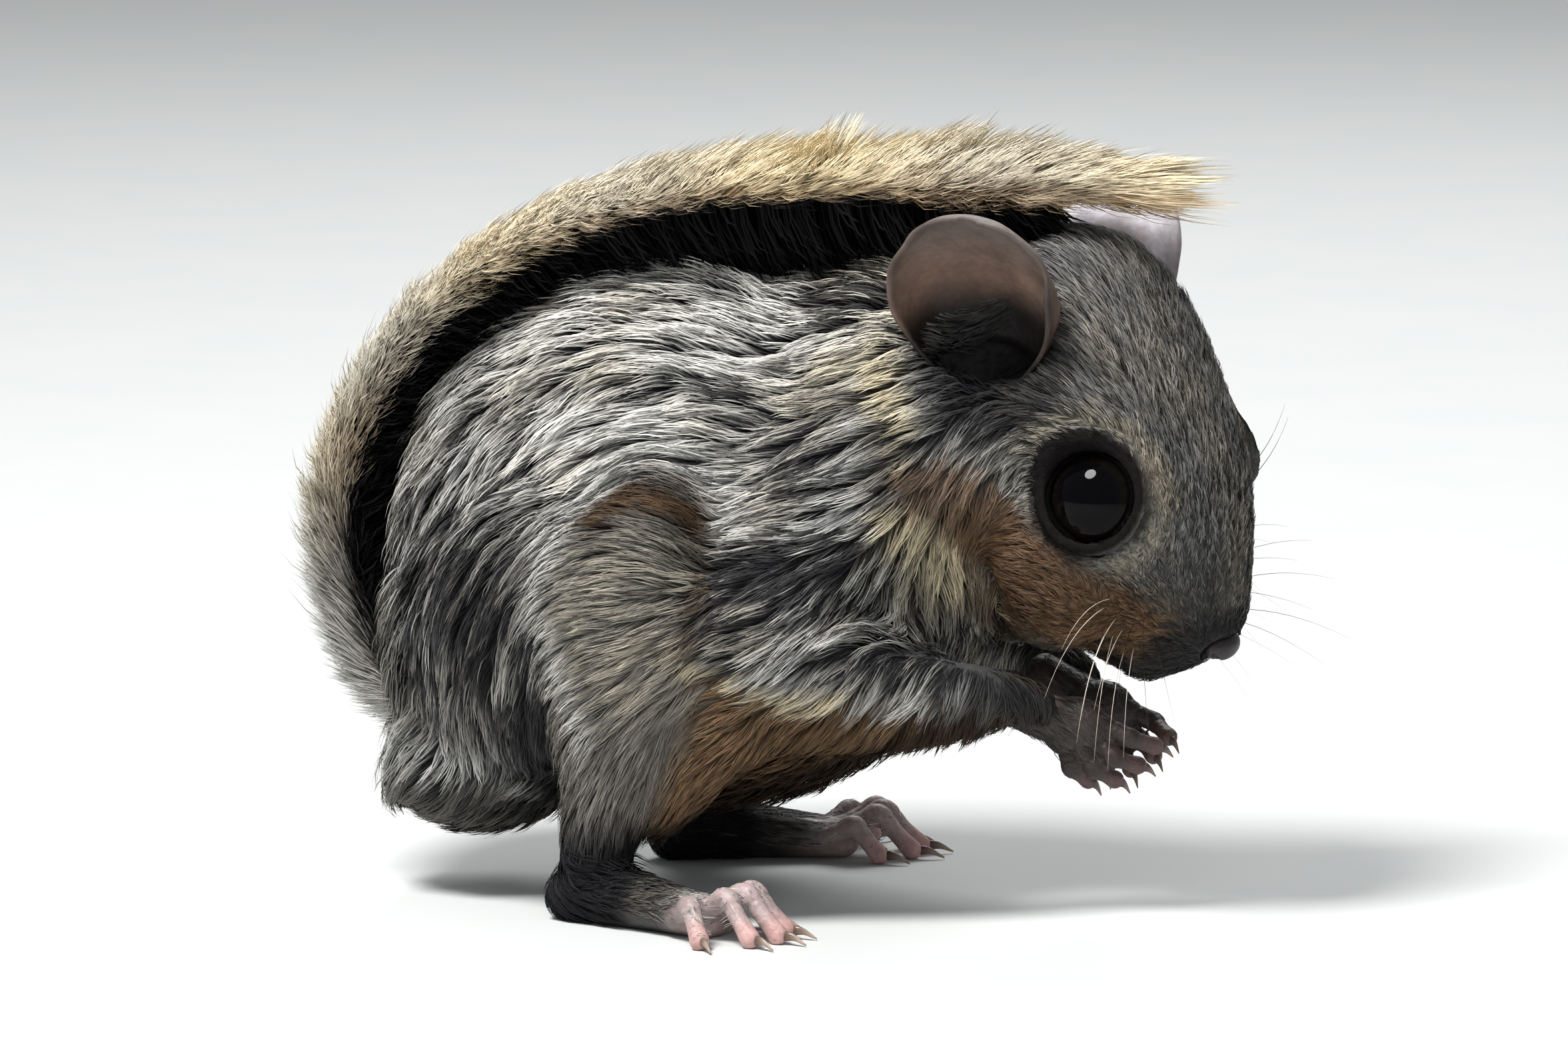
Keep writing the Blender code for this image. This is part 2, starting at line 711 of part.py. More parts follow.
def make_claws(name, side, start, digits, radius, length, drop, where):
    """A curved, tapered claw past each fingertip, a little clear of it."""
    claws = []
    for number, digit in enumerate(digits, 1):
        knuckle = mirrored(Vector(start) + Vector(digit[1]), side)
        tip = mirrored(Vector(start) + Vector(digit[2]), side)
        way = (tip - knuckle).normalized()
        way = Vector((way.x, way.y, way.z * drop)).normalized()
        begin = tip + way * (radius * 0.9 + GAP)
        across = way.cross(Vector((0, 0, 1))).normalized()
        up = across.cross(way).normalized()
        rings = []
        for share in (0.0, 0.45, 0.8):
            middle = begin + way * length * share - up * 0.25 * length * share * share
            size = CLAW_RADIUS * (1 - 0.75 * share)
            rings.append(ellipse(middle, across * size, up * size * 1.35, 6))
        claws.append(loft(f"{name}_{side}_{number}", rings, where, begin + way * length - up * 0.25 * length))
    return claws


def make_membrane(side, where, helpers, made):
    """The fold of skin, its thickness lying across the body, cut clear of the limbs it hangs from."""
    stations = [(place, tall, thick) for place, thick, tall in MEMBRANE]
    fold = limb("membrane_" + side, stations, where, side, steps=10, sides=10)
    for other in ("forearm_" + side, "shank_" + side, "upper_arm_" + side, "thigh_" + side, "torso"):
        subtract(fold, [grown(made[other], GAP, helpers)])
    keep_island(fold)
    thin(fold, MEMBRANE_TRIANGLES)
    return fold


def tail_place(share):
    """The tail's middle, its way ahead and its outward normal at a share of its length."""
    line = [Vector(point) for point in TAIL_LINE]
    ahead = (spline(line, min(share + 0.01, 1)) - spline(line, max(share - 0.01, 0))).normalized()
    return spline(line, share), ahead, ahead.cross(Vector((0, 1, 0))).normalized()


def tail_length():
    line = [Vector(point) for point in TAIL_LINE]
    return sum((b - a).length for a, b in zip(line, line[1:]))


def tail_taper(share):
    """The tail's breadth as a share of its widest: narrow at the root, rounded at the tip."""
    root = 0.5 + 0.5 * min(share / 0.25, 1.0)
    tip = math.sqrt(max(1 - (max(share - 0.62, 0) / 0.40) ** 2, 0.03))
    return root * tip


def tail_core(helpers):
    rings = []
    for i in range(TAIL_STEPS + 1):
        share = TAIL_CORE_END * i / TAIL_STEPS
        middle, _, normal = tail_place(share)
        scale = tail_taper(share)
        across = Vector((0, TAIL_CORE_HALF_WIDTH * scale, 0))
        rings.append(ellipse(middle, across, normal * TAIL_CORE_HALF_DEPTH * math.sqrt(scale), 10))
    return loft("tail_core", rings, helpers)


def tail_lock(share, sign, lift, reach, helpers):
    """A flat tapered lock, from the midline outward and tipward, that lifts off the tail's flat towards its tip.

    The sign is its side, 0 for one that lies along the midline. Its line bends with the tail."""
    total = tail_length()
    rings = []
    for t in (0.0, 0.35, 0.72, 1.0):
        turn = math.radians(LOCK_ANGLE - LOCK_BEND * t) if sign else 0.0
        out = sign * (LOCK_ROOT * tail_taper(share) + reach * t * math.sin(turn))
        along = share + reach * t * math.cos(turn) / total
        here, ahead, up = tail_place(min(along, 1.0))
        here = here + ahead * max(along - 1.0, 0.0) * total
        rise = lift * (TAIL_CORE_HALF_DEPTH * 0.35 + (TAIL_HALF_DEPTH - TAIL_CORE_HALF_DEPTH * 0.35) * t**0.7)
        if sign:
            rise *= 1 - 0.45 * t
        way = (Vector((0, sign, 0)) * math.sin(turn) + ahead * math.cos(turn)).normalized()
        point = here + Vector((0, out, 0)) + up * rise
        breadth = LOCK_HALF_BREADTH * (0.8 + 0.45 * t) * (1 - t**2)
        thickness = LOCK_HALF_THICKNESS * (1 - 0.6 * t)
        rings.append(ellipse(point, up.cross(way).normalized() * breadth, up * thickness, 4))
    return loft("lock", rings[:-1], helpers, rings[-1][0])


def tail_locks(helpers):
    """Rows of locks like a herringbone on both faces, with one along the outer face's midline in each row."""
    total = tail_length()
    angle = math.radians(LOCK_ANGLE - LOCK_BEND)
    count = int(total * TAIL_CORE_END / LOCK_PITCH)
    draw = random.Random(11)
    for i in range(count):
        share = (i + 0.7) * LOCK_PITCH / total
        wide = (TAIL_HALF_WIDTH * tail_taper(share + 0.05) - LOCK_ROOT * tail_taper(share)) / math.sin(angle)
        for sign, lift in ((-1, LOCK_LIFT), (1, LOCK_LIFT), (-1, -LOCK_LIFT), (1, -LOCK_LIFT), (0, 1.0)):
            reach = (wide if sign else MIDLINE_REACH) * draw.uniform(0.94, 1.06)
            late = 0.5 if lift < 0 or not sign else 0.0
            tail_lock(share + late * LOCK_PITCH / total, sign, lift, reach, helpers)


def tip_locks(helpers):
    """A fan of locks at the tail's end, by turns nearer its outer and its inner face."""
    middle, ahead, normal = tail_place(TAIL_CORE_END - 0.02)
    for i in range(TIP_LOCKS):
        turn = math.radians(TIP_LOCK_SPREAD * (i - (TIP_LOCKS - 1) / 2))
        way = ahead * math.cos(turn) + Vector((0, 1, 0)) * math.sin(turn)
        lift = normal * (1.1 if i % 2 else -0.8)
        rings = []
        for t in (0.0, 0.4, 0.75):
            breadth = LOCK_HALF_BREADTH * (0.9 + 0.3 * t) * (1 - t**2)
            middle_here = middle + way * TIP_LOCK_LENGTH * t + lift * t
            across = normal.cross(way).normalized() * breadth
            rings.append(ellipse(middle_here, across, normal * LOCK_HALF_THICKNESS * (1.3 - 0.8 * t), 4))
        loft("lock", rings, helpers, middle + way * TIP_LOCK_LENGTH + lift)


def make_tail(where, helpers, clear_of):
    """The tail's core fused with its locks, cut clear of its neighbours and parted in three by thin V cuts."""
    tail = tail_core(helpers)
    locks = bpy.data.collections.new("tail_locks")
    helpers.children.link(locks)
    tail_locks(locks)
    tip_locks(locks)
    union = tail.modifiers.new("union", "BOOLEAN")
    union.operation = "UNION"
    union.solver = "MANIFOLD"
    union.operand_type = "COLLECTION"
    union.collection = locks
    apply_modifiers(tail)
    keep_island(tail)
    subtract(tail, [grown(other, GAP + 0.1, helpers) for other in clear_of])
    keep_island(tail)
    return part_tail(tail, where, helpers)


def v_cutter(share, helpers):
    """A thin V-shaped wall across the tail that runs the way the locks lie."""
    total = tail_length()
    turn = math.radians(LOCK_ANGLE - LOCK_BEND / 2)
    rings = []
    for i in range(-3, 4):
        out = TAIL_CUT_HALF_SPAN * i / 3
        here, ahead, up = tail_place(share + abs(out) / math.tan(turn) / total)
        point = here + Vector((0, out, 0))
        thick = ahead * GAP / math.sin(turn) / 2 if i else ahead * GAP / 2
        tall = up * TAIL_CUT_HALF_DEPTH
        rings.append([point - thick - tall, point + thick - tall, point + thick + tall, point - thick + tall])
    return loft("v_cutter", rings, helpers)


def part_tail(tail, where, helpers):
    """The tail's three lengths, named from the root to the tip."""
    subtract(tail, [v_cutter(share, helpers) for share in TAIL_SPLITS])
    pieces = [copy_of(tail, "tail_piece", where) for _ in range(3)]
    bpy.data.objects.remove(tail)
    for rank, piece in enumerate(pieces):
        keep_island(piece, rank)
    pieces.sort(key=lambda piece: sum(vert.co.x for vert in piece.data.vertices) / len(piece.data.vertices))
    for piece, name in zip(pieces, ("tail_base", "tail_middle", "tail_end")):
        piece.name = name
    return pieces


def to_metres(objects):
    """Scales all to metres and sets the middle of their box over the origin, at floor level."""
    points = [vert.co for obj in objects for vert in obj.data.vertices]
    low = [min(point[i] for point in points) for i in range(3)]
    high = [max(point[i] for point in points) for i in range(3)]
    middle = Vector(((low[0] + high[0]) / 2, (low[1] + high[1]) / 2, low[2]))
    for obj in objects:
        obj.data.transform(Matrix.Scale(MM, 4) @ Matrix.Translation(-middle))
        obj.data.update()


def paint(obj, made):
    obj.data.materials.clear()
    obj.data.materials.append(made)
    for face in obj.data.polygons:
        face.use_smooth = True
        face.material_index = 0
    obj.data.set_sharp_from_angle(angle=math.radians(50))


def main():
    clear_scene()
    squirrel = collection("flying_squirrel")
    helpers = collection("helpers")
    fur = material("grey_fur", FLESH_COLOUR, 0.9)
    buff = material("buff_fur", BUFF_COLOUR, 0.9)
    bare = material("bare_skin", BARE_COLOUR, 0.6)
    toes = material("toe_skin", TOE_COLOUR, 0.55)
    ear_skin = material("ear_skin", EAR_COLOUR, 0.6)
    eye_gloss = material("eye", EYE_COLOUR, 0.05)
    nose_skin = material("nose_leather", NOSE_COLOUR, 0.4)
    horn = material("claw_horn", CLAW_COLOUR, 0.35)

    head, jaw, whole_head = make_head(squirrel, helpers)
    made = make_body(squirrel, helpers, whole_head)
    for side in SIDES:
        paint(ball("eye_" + side, on_head(EYE_PLACE, side), [EYE_RADIUS] * 3, squirrel, rings=EYE_RINGS), eye_gloss)
        made["ear_" + side] = make_ear(side, squirrel, helpers, whole_head, made["neck"])
        hand = make_hand(side, squirrel, helpers)
        subtract(hand, [grown(made["forearm_" + side], GAP, helpers), grown(whole_head, GAP, helpers)])
        keep_island(hand)
        paint(hand, bare)
        foot = make_foot(side, squirrel, helpers)
        subtract(foot, [grown(made["shank_" + side], GAP, helpers)])
        keep_island(foot)
        paint(foot, toes)
        claws = make_claws("claw_hand", side, WRIST, HAND_DIGITS, HAND_DIGIT_RADIUS, HAND_CLAW, 1.0, squirrel)
        claws += make_claws("claw_foot", side, HEEL, foot_digits(), FOOT_DIGIT_RADIUS, FOOT_CLAW, 0.0, squirrel)
        for claw in claws:
            paint(claw, horn)
        paint(make_membrane(side, squirrel, helpers, made), buff)
    ears = [made.pop("ear_" + side) for side in SIDES]
    for piece in make_tail(squirrel, helpers, (made["torso"], made["neck"], whole_head, *ears)):
        paint(piece, buff)
    for ear in ears:
        paint(ear, ear_skin)
    for node in (head, jaw, *made.values()):
        thin(node, NODE_TRIANGLES[node.name.removesuffix("_right").removesuffix("_left")])
        paint(node, fur)
    paint(make_nose(squirrel, helpers), nose_skin)
    for helper in list(helpers.all_objects):
        bpy.data.objects.remove(helper)
    to_metres(squirrel.objects)


main()
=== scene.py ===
"""A life-size southern flying squirrel, crouched, in its coat.

Places are written in millimetres in the maker's own frame, where the animal faces +X and stands on z = 0.
Points marked as one side's are written for the left side, and the right side mirrors them.
"""
import math

import bmesh
import bpy
import numpy as np
from mathutils import Matrix, Vector, kdtree, noise
from mathutils.bvhtree import BVHTree


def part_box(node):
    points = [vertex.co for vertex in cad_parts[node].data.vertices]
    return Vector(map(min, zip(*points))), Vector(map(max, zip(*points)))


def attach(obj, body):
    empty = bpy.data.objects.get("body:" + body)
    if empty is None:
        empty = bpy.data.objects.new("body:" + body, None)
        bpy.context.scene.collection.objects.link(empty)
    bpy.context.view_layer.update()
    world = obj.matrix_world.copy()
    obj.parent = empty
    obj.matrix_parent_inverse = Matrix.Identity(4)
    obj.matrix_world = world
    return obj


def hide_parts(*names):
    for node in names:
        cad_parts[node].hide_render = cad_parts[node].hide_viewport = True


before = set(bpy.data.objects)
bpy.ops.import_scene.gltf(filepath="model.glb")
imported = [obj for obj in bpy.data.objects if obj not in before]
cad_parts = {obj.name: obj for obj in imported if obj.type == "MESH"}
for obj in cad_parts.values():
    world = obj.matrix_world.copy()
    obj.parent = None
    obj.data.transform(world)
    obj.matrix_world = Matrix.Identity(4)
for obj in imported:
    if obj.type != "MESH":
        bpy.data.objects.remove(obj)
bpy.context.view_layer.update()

MM = 0.001
SIDES = {"right": -1, "left": 1}

# The head's frame: a place is (behind the nose, out, up) from the nose tip.
NOSE_TIP = (41.8, -3.0, 22.2)
HEAD_DOWN = 67.5
HEAD_TWIST = 20.0
EYE_PLACE = (17.0, 7.3, 0.8)
EYE_FACES = (0.20, 0.90, 0.30)
EYE_RADIUS = 4.7
EAR_BASE = {"right": (32.2, 10.7, -3.4), "left": (30.6, 8.8, -4.0)}
EAR_POINTS = {"right": (0.75, 0.36, 0.55), "left": (0.79, 0.54, 0.22)}
EAR_FACES = (-0.36, 0.86, 0.06)
EAR_LENGTH = 17.5
EAR_SUNK = 2.6
EAR_HALF_WIDTH = 7.4
EAR_FOOT_SHARE = 0.58
EAR_WIDEST = 0.50
EAR_CURL = (128, 52)
EAR_CUP = 0.75
NOSE_PAD = ((1.45, 0, 1.6), (1.35, 2.0, 1.4))

WRIST = (27.2, 6.6, 18.5)
PALM = ((2.8, -1.7, -1.9), (3.1, 1.8, 2.7))
HAND_DIGITS = (
    ((2.0, -1.3, -3.2), (2.6, -1.5, -5.4), (3.6, -3.4, -6.7)),
    ((3.4, -1.5, -3.4), (4.6, -1.5, -5.4), (5.9, -3.6, -6.6)),
    ((4.6, -1.7, -2.8), (6.3, -1.6, -4.4), (7.9, -3.7, -5.3)),
    ((5.2, -2.0, -1.6), (7.6, -2.0, -2.7), (9.3, -4.0, -3.6)),
)
HAND_DIGIT_RADIUS = 0.84
HAND_CLAW = 1.2
HEEL = (-12.0, 16.4, 0.0)
FOOT_YAW = 17.0
FOOT_DIGITS = (
    ((13.4, -1.2, 1.7), (16.2, -2.6, 3.2), (18.4, -3.6, 0.75)),
    ((14.6, 0.0, 1.9), (18.4, -0.6, 3.9), (21.4, -1.1, 0.75)),
    ((14.8, 1.3, 1.9), (19.0, 1.5, 4.0), (22.3, 1.6, 0.75)),
    ((14.6, 2.6, 1.9), (18.5, 3.8, 3.9), (21.4, 4.6, 0.75)),
    ((13.2, 3.6, 1.7), (16.2, 6.0, 3.3), (18.2, 7.6, 0.75)),
)
FOOT_SOLE = (
    ((0.6, 0.0, 2.2), 2.3, 2.3),
    ((4.5, 0.3, 2.4), 2.5, 2.5),
    ((10.0, 0.8, 2.0), 2.9, 2.1),
    ((15.2, 1.3, 1.6), 3.3, 1.7),
)
FOOT_DIGIT_RADIUS = 0.95
FOOT_CLAW = 1.7
CLAW_RADIUS = 0.36

TAIL_LINE = (
    (-26.5, 0, 14.5),
    (-32.4, 0, 17.5),
    (-35.6, 0, 25.0),
    (-36.5, 0, 33.0),
    (-34.9, 0, 40.6),
    (-31.0, 0, 47.6),
    (-25.3, 0, 53.4),
    (-18.6, 0, 57.8),
    (-11.0, 0, 60.8),
    (-2.8, -0.2, 62.4),
    (7.1, -0.7, 63.0),
    (16.9, -1.5, 63.5),
    (26.1, -2.4, 63.6),
    (34.0, -3.0, 63.2),
)
TAIL_HALF_WIDTH = 11.8
TAIL_HALF_DEPTH = 3.5
TAIL_CORE_HALF_WIDTH = 5.2
TAIL_CORE_HALF_DEPTH = 1.7
TAIL_CORE_END = 0.93

# The picture's scale and the way it is seen.
VIEW_AZIMUTH = 15.0
VIEW_ELEVATION = 8.0
VIEW_DISTANCE = 1.2
VIEW_WIDTH = 0.1364
VIEW_MIDDLE = (2.73, 32.3)


def linear(red, green, blue):
    """A colour as a screen shows it, from 0 to 255, in linear light."""
    return np.array([((c / 255 + 0.055) / 1.055) ** 2.4 if c > 10 else c / 3295 for c in (red, green, blue)])


SILVER = linear(208, 207, 202)
SLATE = linear(57, 57, 58)
BUFF_GREY = linear(176, 166, 146)
BROWN_GREY = linear(112, 108, 101)
CREAM = linear(214, 200, 166)
OCHRE = linear(162, 124, 84)
RUST = linear(94, 73, 52)
BELLY = linear(104, 82, 60)
FACE_GREY = linear(112, 111, 109)
FACE_DARK = linear(52, 51, 51)
FACE_BUFF = linear(148, 140, 127)
CHEEK = linear(104, 80, 60)
EYE_RING = linear(20, 17, 17)
TAIL_CREAM = linear(224, 208, 172)
TAIL_DARK = linear(44, 42, 41)
TAIL_FRINGE = linear(96, 94, 92)
HAND_SKIN = linear(47, 39, 37)
TOE_SKIN = linear(168, 150, 148)
INK = linear(30, 30, 33)


def head_matrix():
    turn = Matrix.Rotation(math.radians(HEAD_DOWN), 4, "Y") @ Matrix.Rotation(math.radians(HEAD_TWIST), 4, "X")
    return Matrix.Translation(Vector(NOSE_TIP)) @ turn


HEAD = head_matrix()
HEAD_BACK = HEAD.inverted()


def on_head(place, side="left"):
    return HEAD @ Vector((-place[0], place[1] * SIDES[side], place[2]))


def head_way(way, side="left"):
    return (HEAD.to_3x3() @ Vector((-way[0], way[1] * SIDES[side], way[2]))).normalized()


def mirrored(point, side):
    return Vector((point[0], point[1] * SIDES[side], point[2]))


# The solids stand centred over the origin, so the right eye's middle gives where this frame lies in theirs.
eye_low, eye_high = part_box("eye_right")
SHIFT = (eye_low + eye_high) / 2 / MM - on_head(EYE_PLACE, "right")
TO_ROW = Matrix.Scale(MM, 4) @ Matrix.Translation(SHIFT)
TO_OWN = TO_ROW.inverted()
FLOOR = -SHIFT.z


def unit(v):
    return v / np.maximum(np.linalg.norm(v, axis=-1, keepdims=True), 1e-9)


def step(low, high, x):
    t = np.clip((x - low) / (high - low), 0, 1)
    return t * t * (3 - 2 * t)


def mix(a, b, t):
    t = np.asarray(t)[..., None]
    return a * (1 - t) + b * t


def spline(points, share):
    place = min(max(share, 0.0), 1.0) * (len(points) - 1)
    i = min(int(place), len(points) - 2)
    t = place - i
    p0, p1, p2, p3 = points[max(i - 1, 0)], points[i], points[i + 1], points[min(i + 2, len(points) - 1)]
    bent = (2 * p0 - 5 * p1 + 4 * p2 - p3) * t * t + (3 * p1 - p0 - 3 * p2 + p3) * t * t * t
    return 0.5 * (2 * p1 + (p2 - p0) * t + bent)


# Materials

def new_material(name):
    made = bpy.data.materials.new(name)
    made.use_nodes = True
    return made, made.node_tree.nodes, made.node_tree.links


def coloured(name, attribute, roughness, grain=0.0, grain_scale=900.0, grain_depth=0.0002, subsurface=0.0, sheen=0.0):
    """A finish whose colour is the piece's own painted attribute, broken up by fine grain and a little bump."""
    made, nodes, links = new_material(name)
    shader = nodes["Principled BSDF"]
    shader.inputs["Roughness"].default_value = roughness
    shader.inputs["Specular IOR Level"].default_value = 0.35
    shader.inputs["Subsurface Weight"].default_value = subsurface
    shader.inputs["Subsurface Radius"].default_value = (0.0012, 0.0005, 0.0003)
    shader.inputs["Subsurface Scale"].default_value = 1.0
    shader.inputs["Sheen Weight"].default_value = sheen
    shader.inputs["Sheen Roughness"].default_value = 0.5
    paint = nodes.new("ShaderNodeAttribute")
    paint.attribute_name = attribute
    place = nodes.new("ShaderNodeTexCoord")
    speckle = nodes.new("ShaderNodeTexNoise")
    speckle.inputs["Scale"].default_value = grain_scale
    speckle.inputs["Detail"].default_value = 5.0
    links.new(place.outputs["Object"], speckle.inputs["Vector"])
    if grain:
        spread = nodes.new("ShaderNodeMapRange")
        spread.inputs["From Min"].default_value = 0.3
        spread.inputs["From Max"].default_value = 0.7
        spread.inputs["To Min"].default_value = 1 - grain
        spread.inputs["To Max"].default_value = 1 + grain
        links.new(speckle.outputs["Fac"], spread.inputs["Value"])
        scale = nodes.new("ShaderNodeVectorMath")
        scale.operation = "SCALE"
        links.new(paint.outputs["Color"], scale.inputs[0])
        links.new(spread.outputs["Result"], scale.inputs["Scale"])
        links.new(scale.outputs["Vector"], shader.inputs["Base Color"])
    else:
        links.new(paint.outputs["Color"], shader.inputs["Base Color"])
    if grain_depth:
        bump = nodes.new("ShaderNodeBump")
        bump.inputs["Strength"].default_value = 0.6
        bump.inputs["Distance"].default_value = grain_depth
        links.new(speckle.outputs["Fac"], bump.inputs["Height"])
        links.new(bump.outputs["Normal"], shader.inputs["Normal"])
    return made


def hair_material(name, roughness):
    made, nodes, links = new_material(name)
    shader = nodes["Principled BSDF"]
    shader.inputs["Roughness"].default_value = roughness
    shader.inputs["Specular IOR Level"].default_value = 0.10
    paint = nodes.new("ShaderNodeAttribute")
    paint.attribute_name = "coat"
    links.new(paint.outputs["Color"], shader.inputs["Base Color"])
    return made


# Small mesh helpers

def finish_piece(name, form, material, nodes=(), smooth=True):
    """Turns a bmesh in the maker's frame into a piece in the row frame."""
    bmesh.ops.transform(form, matrix=TO_ROW, verts=form.verts)
    mesh = bpy.data.meshes.new(name)
    form.to_mesh(mesh)
    form.free()
    return place_piece(name, mesh, material, nodes, smooth)


def place_piece(name, mesh, material, nodes=(), smooth=True):
    if smooth:
        mesh.shade_smooth()
    mesh.materials.append(material)
    piece = bpy.data.objects.new(name, mesh)
    bpy.context.scene.collection.objects.link(piece)
    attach(piece, "root")
    if nodes:
        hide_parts(*nodes)
    return piece


def ring_matrix(middle, across, along):
    """A unit circle's place: its two half axes as vectors."""
    normal = across.cross(along).normalized()
    return Matrix.Translation(middle) @ Matrix((across, along, normal)).transposed().to_4x4()


def loft(form, rings, sides, close_start=True, close_end=True):
    """Circles joined in turn. Each ring is (middle, half axis, half axis)."""
    before = None
    first = None
    for middle, across, along in rings:
        made = bmesh.ops.create_circle(form, segments=sides, radius=1.0, matrix=ring_matrix(middle, across, along))
        verts = made["verts"]
        if before:
            for i in range(sides):
                j = (i + 1) % sides
                form.faces.new((before[i], before[j], verts[j], verts[i]))
        first = first or verts
        before = verts
    if close_start:
        form.faces.new(list(reversed(first)))
    if close_end:
        form.faces.new(before)
    return form


def tube(form, stations, side, steps, sides, ends=3):
    """A round-ended tube through (place, half width, half depth), the depth lying across the body."""
    points = [mirrored(place, side) for place, _, _ in stations]
    radii = [Vector((wide, deep, 0)) for _, wide, deep in stations]
    rings = []
    for i in range(-ends, steps + ends + 1):
        share = min(max(i / steps, 0.0), 1.0)
        ahead = (spline(points, min(share + 0.02, 1.0)) - spline(points, max(share - 0.02, 0.0))).normalized()
        radius = spline(radii, share)
        past = max(-i, i - steps, 0) / (ends + 0.15)
        middle = spline(points, share) + ahead * (-1 if i < 0 else 1) * past * min(radius.x, radius.y)
        depth_way = (Vector((0, 1, 0)) - ahead * ahead.y).normalized()
        width_way = ahead.cross(depth_way).normalized()
        shrink = math.sqrt(1 - past * past)
        rings.append((middle, width_way * radius.x * shrink, depth_way * radius.y * shrink))
    return loft(form, rings, sides)


def melted(form, voxel, smooth_steps):
    """The form's shells melted into one closed skin, as a new bmesh."""
    mesh = bpy.data.meshes.new("melting")
    bmesh.ops.recalc_face_normals(form, faces=form.faces)
    form.to_mesh(mesh)
    form.free()
    holder = bpy.data.objects.new("melting", mesh)
    bpy.context.scene.collection.objects.link(holder)
    remesh = holder.modifiers.new("melt", "REMESH")
    remesh.mode = "VOXEL"
    remesh.voxel_size = voxel
    if smooth_steps:
        smooth = holder.modifiers.new("smooth", "SMOOTH")
        smooth.factor = 0.5
        smooth.iterations = smooth_steps
    graph = bpy.context.evaluated_depsgraph_get()
    made = bmesh.new()
    made.from_mesh(holder.evaluated_get(graph).to_mesh())
    bpy.data.objects.remove(holder)
    bpy.data.meshes.remove(mesh)
    return made


def largest_shell(form):
    """Drops all but the largest connected group of faces."""
    groups = []
    left = set(form.faces)
    while left:
        seed = left.pop()
        group, stack = [seed], [seed]
        while stack:
            for edge in stack.pop().edges:
                for other in edge.link_faces:
                    if other in left:
                        left.remove(other)
                        group.append(other)
                        stack.append(other)
        groups.append(group)
    groups.sort(key=len)
    for group in groups[:-1]:
        bmesh.ops.delete(form, geom=group, context="FACES")
    return form


# The skin: the fleshy solids melted into one and drawn in by the coat's depth

FLESH = ["torso", "neck", "head", "jaw"]
for one_side in SIDES:
    FLESH += [part + "_" + one_side for part in ("upper_arm", "forearm", "thigh", "shank", "membrane")]
JOIN = 0.3
SKIN_VOXEL = 0.5
THROAT = Matrix.Translation((25.2, -0.6, 26.4)) @ Matrix.Rotation(math.radians(32), 4, "Y") @ Matrix.Diagonal((6.0, 6.4, 3.4, 1.0))


def solid_copy(node, grow):
    """A node's closed mesh in the maker's frame, its skin moved out a little so that neighbours overlap."""
    form = bmesh.new()
    form.from_mesh(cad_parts[node].data)
    bmesh.ops.transform(form, matrix=TO_OWN, verts=form.verts)
    bmesh.ops.remove_doubles(form, verts=form.verts, dist=0.002)
    form.normal_update()
    moves = [vert.normal * grow for vert in form.verts]
    for vert, move in zip(form.verts, moves):
        vert.co += move
    return form


def tail_frame(share):
    """The tail's middle, way ahead and outward normal at shares of its length, as arrays."""
    share = np.asarray(share, float)
    line = [Vector(point) for point in TAIL_LINE]
    ticks = np.linspace(0, 1, 241)
    middle = np.array([spline(line, t) for t in ticks])
    ahead = unit(np.gradient(middle, axis=0))
    up = unit(np.cross(ahead, (0.0, 1.0, 0.0)))
    picked = [np.stack([np.interp(share, ticks, rows[:, i]) for i in range(3)], -1) for rows in (middle, ahead, up)]
    past = np.clip(share - 1, 0, None)[..., None] * tail_length()
    return picked[0] + picked[1] * past, unit(picked[1]), unit(picked[2])


def tail_length():
    line = np.array(TAIL_LINE, float)
    return float(np.linalg.norm(np.diff(line, axis=0), axis=1).sum())


def tail_taper(share):
    share = np.asarray(share, float)
    root = 0.5 + 0.5 * np.clip(share / 0.25, 0, 1)
    tip = np.sqrt(np.maximum(1 - (np.maximum(share - 0.62, 0) / 0.40) ** 2, 0.03))
    return root * tip


def add_tail_core(form):
    shares = np.linspace(0, TAIL_CORE_END, 60)
    middle, _, up = tail_frame(shares)
    scale = tail_taper(shares)
    rings = []
    for m, u, s in zip(middle, up, scale):
        across = Vector((0, TAIL_CORE_HALF_WIDTH * s, 0))
        rings.append((Vector(m), across, Vector(u) * TAIL_CORE_HALF_DEPTH * math.sqrt(s)))
    loft(form, rings, 20)


def gather_flesh():
    form = bmesh.new()
    for node in FLESH:
        part = solid_copy(node, JOIN)
        holder = bpy.data.meshes.new("part")
        part.to_mesh(holder)
        part.free()
        form.from_mesh(holder)
        bpy.data.meshes.remove(holder)
    add_tail_core(form)
    bmesh.ops.create_uvsphere(form, u_segments=24, v_segments=16, radius=1.0, matrix=THROAT)
    for side in SIDES:
        hand_form(form, side, wrist_only=True)
        foot_form(form, side, ankle_only=True)
    return form


def hand_form(form, side, wrist_only=False):
    wrist = Vector(WRIST)
    palm = wrist + Vector(PALM[0])
    tube(form, ((wrist + Vector((-3.0, 1.0, 0.7)), 1.9, 1.7), (palm, 2.2, 1.6)), side, 10, 16)
    if wrist_only:
        return
    turn = Matrix.Translation(mirrored(palm, side)) @ Matrix.Diagonal((*PALM[1], 1.0))
    bmesh.ops.create_uvsphere(form, u_segments=20, v_segments=14, radius=1.0, matrix=turn)
    for digit in HAND_DIGITS:
        root, knuckle, tip = (wrist + Vector(place) for place in digit)
        r = HAND_DIGIT_RADIUS
        stations = (
            (root, r * 1.15, r * 1.1),
            (root.lerp(knuckle, 0.6), r * 0.98, r * 0.98),
            (knuckle, r * 1.1, r * 1.02),
            (knuckle.lerp(tip, 0.5), r * 0.84, r * 0.86),
            (tip, r * 1.0, r * 0.98),
        )
        tube(form, stations, side, 24, 14)


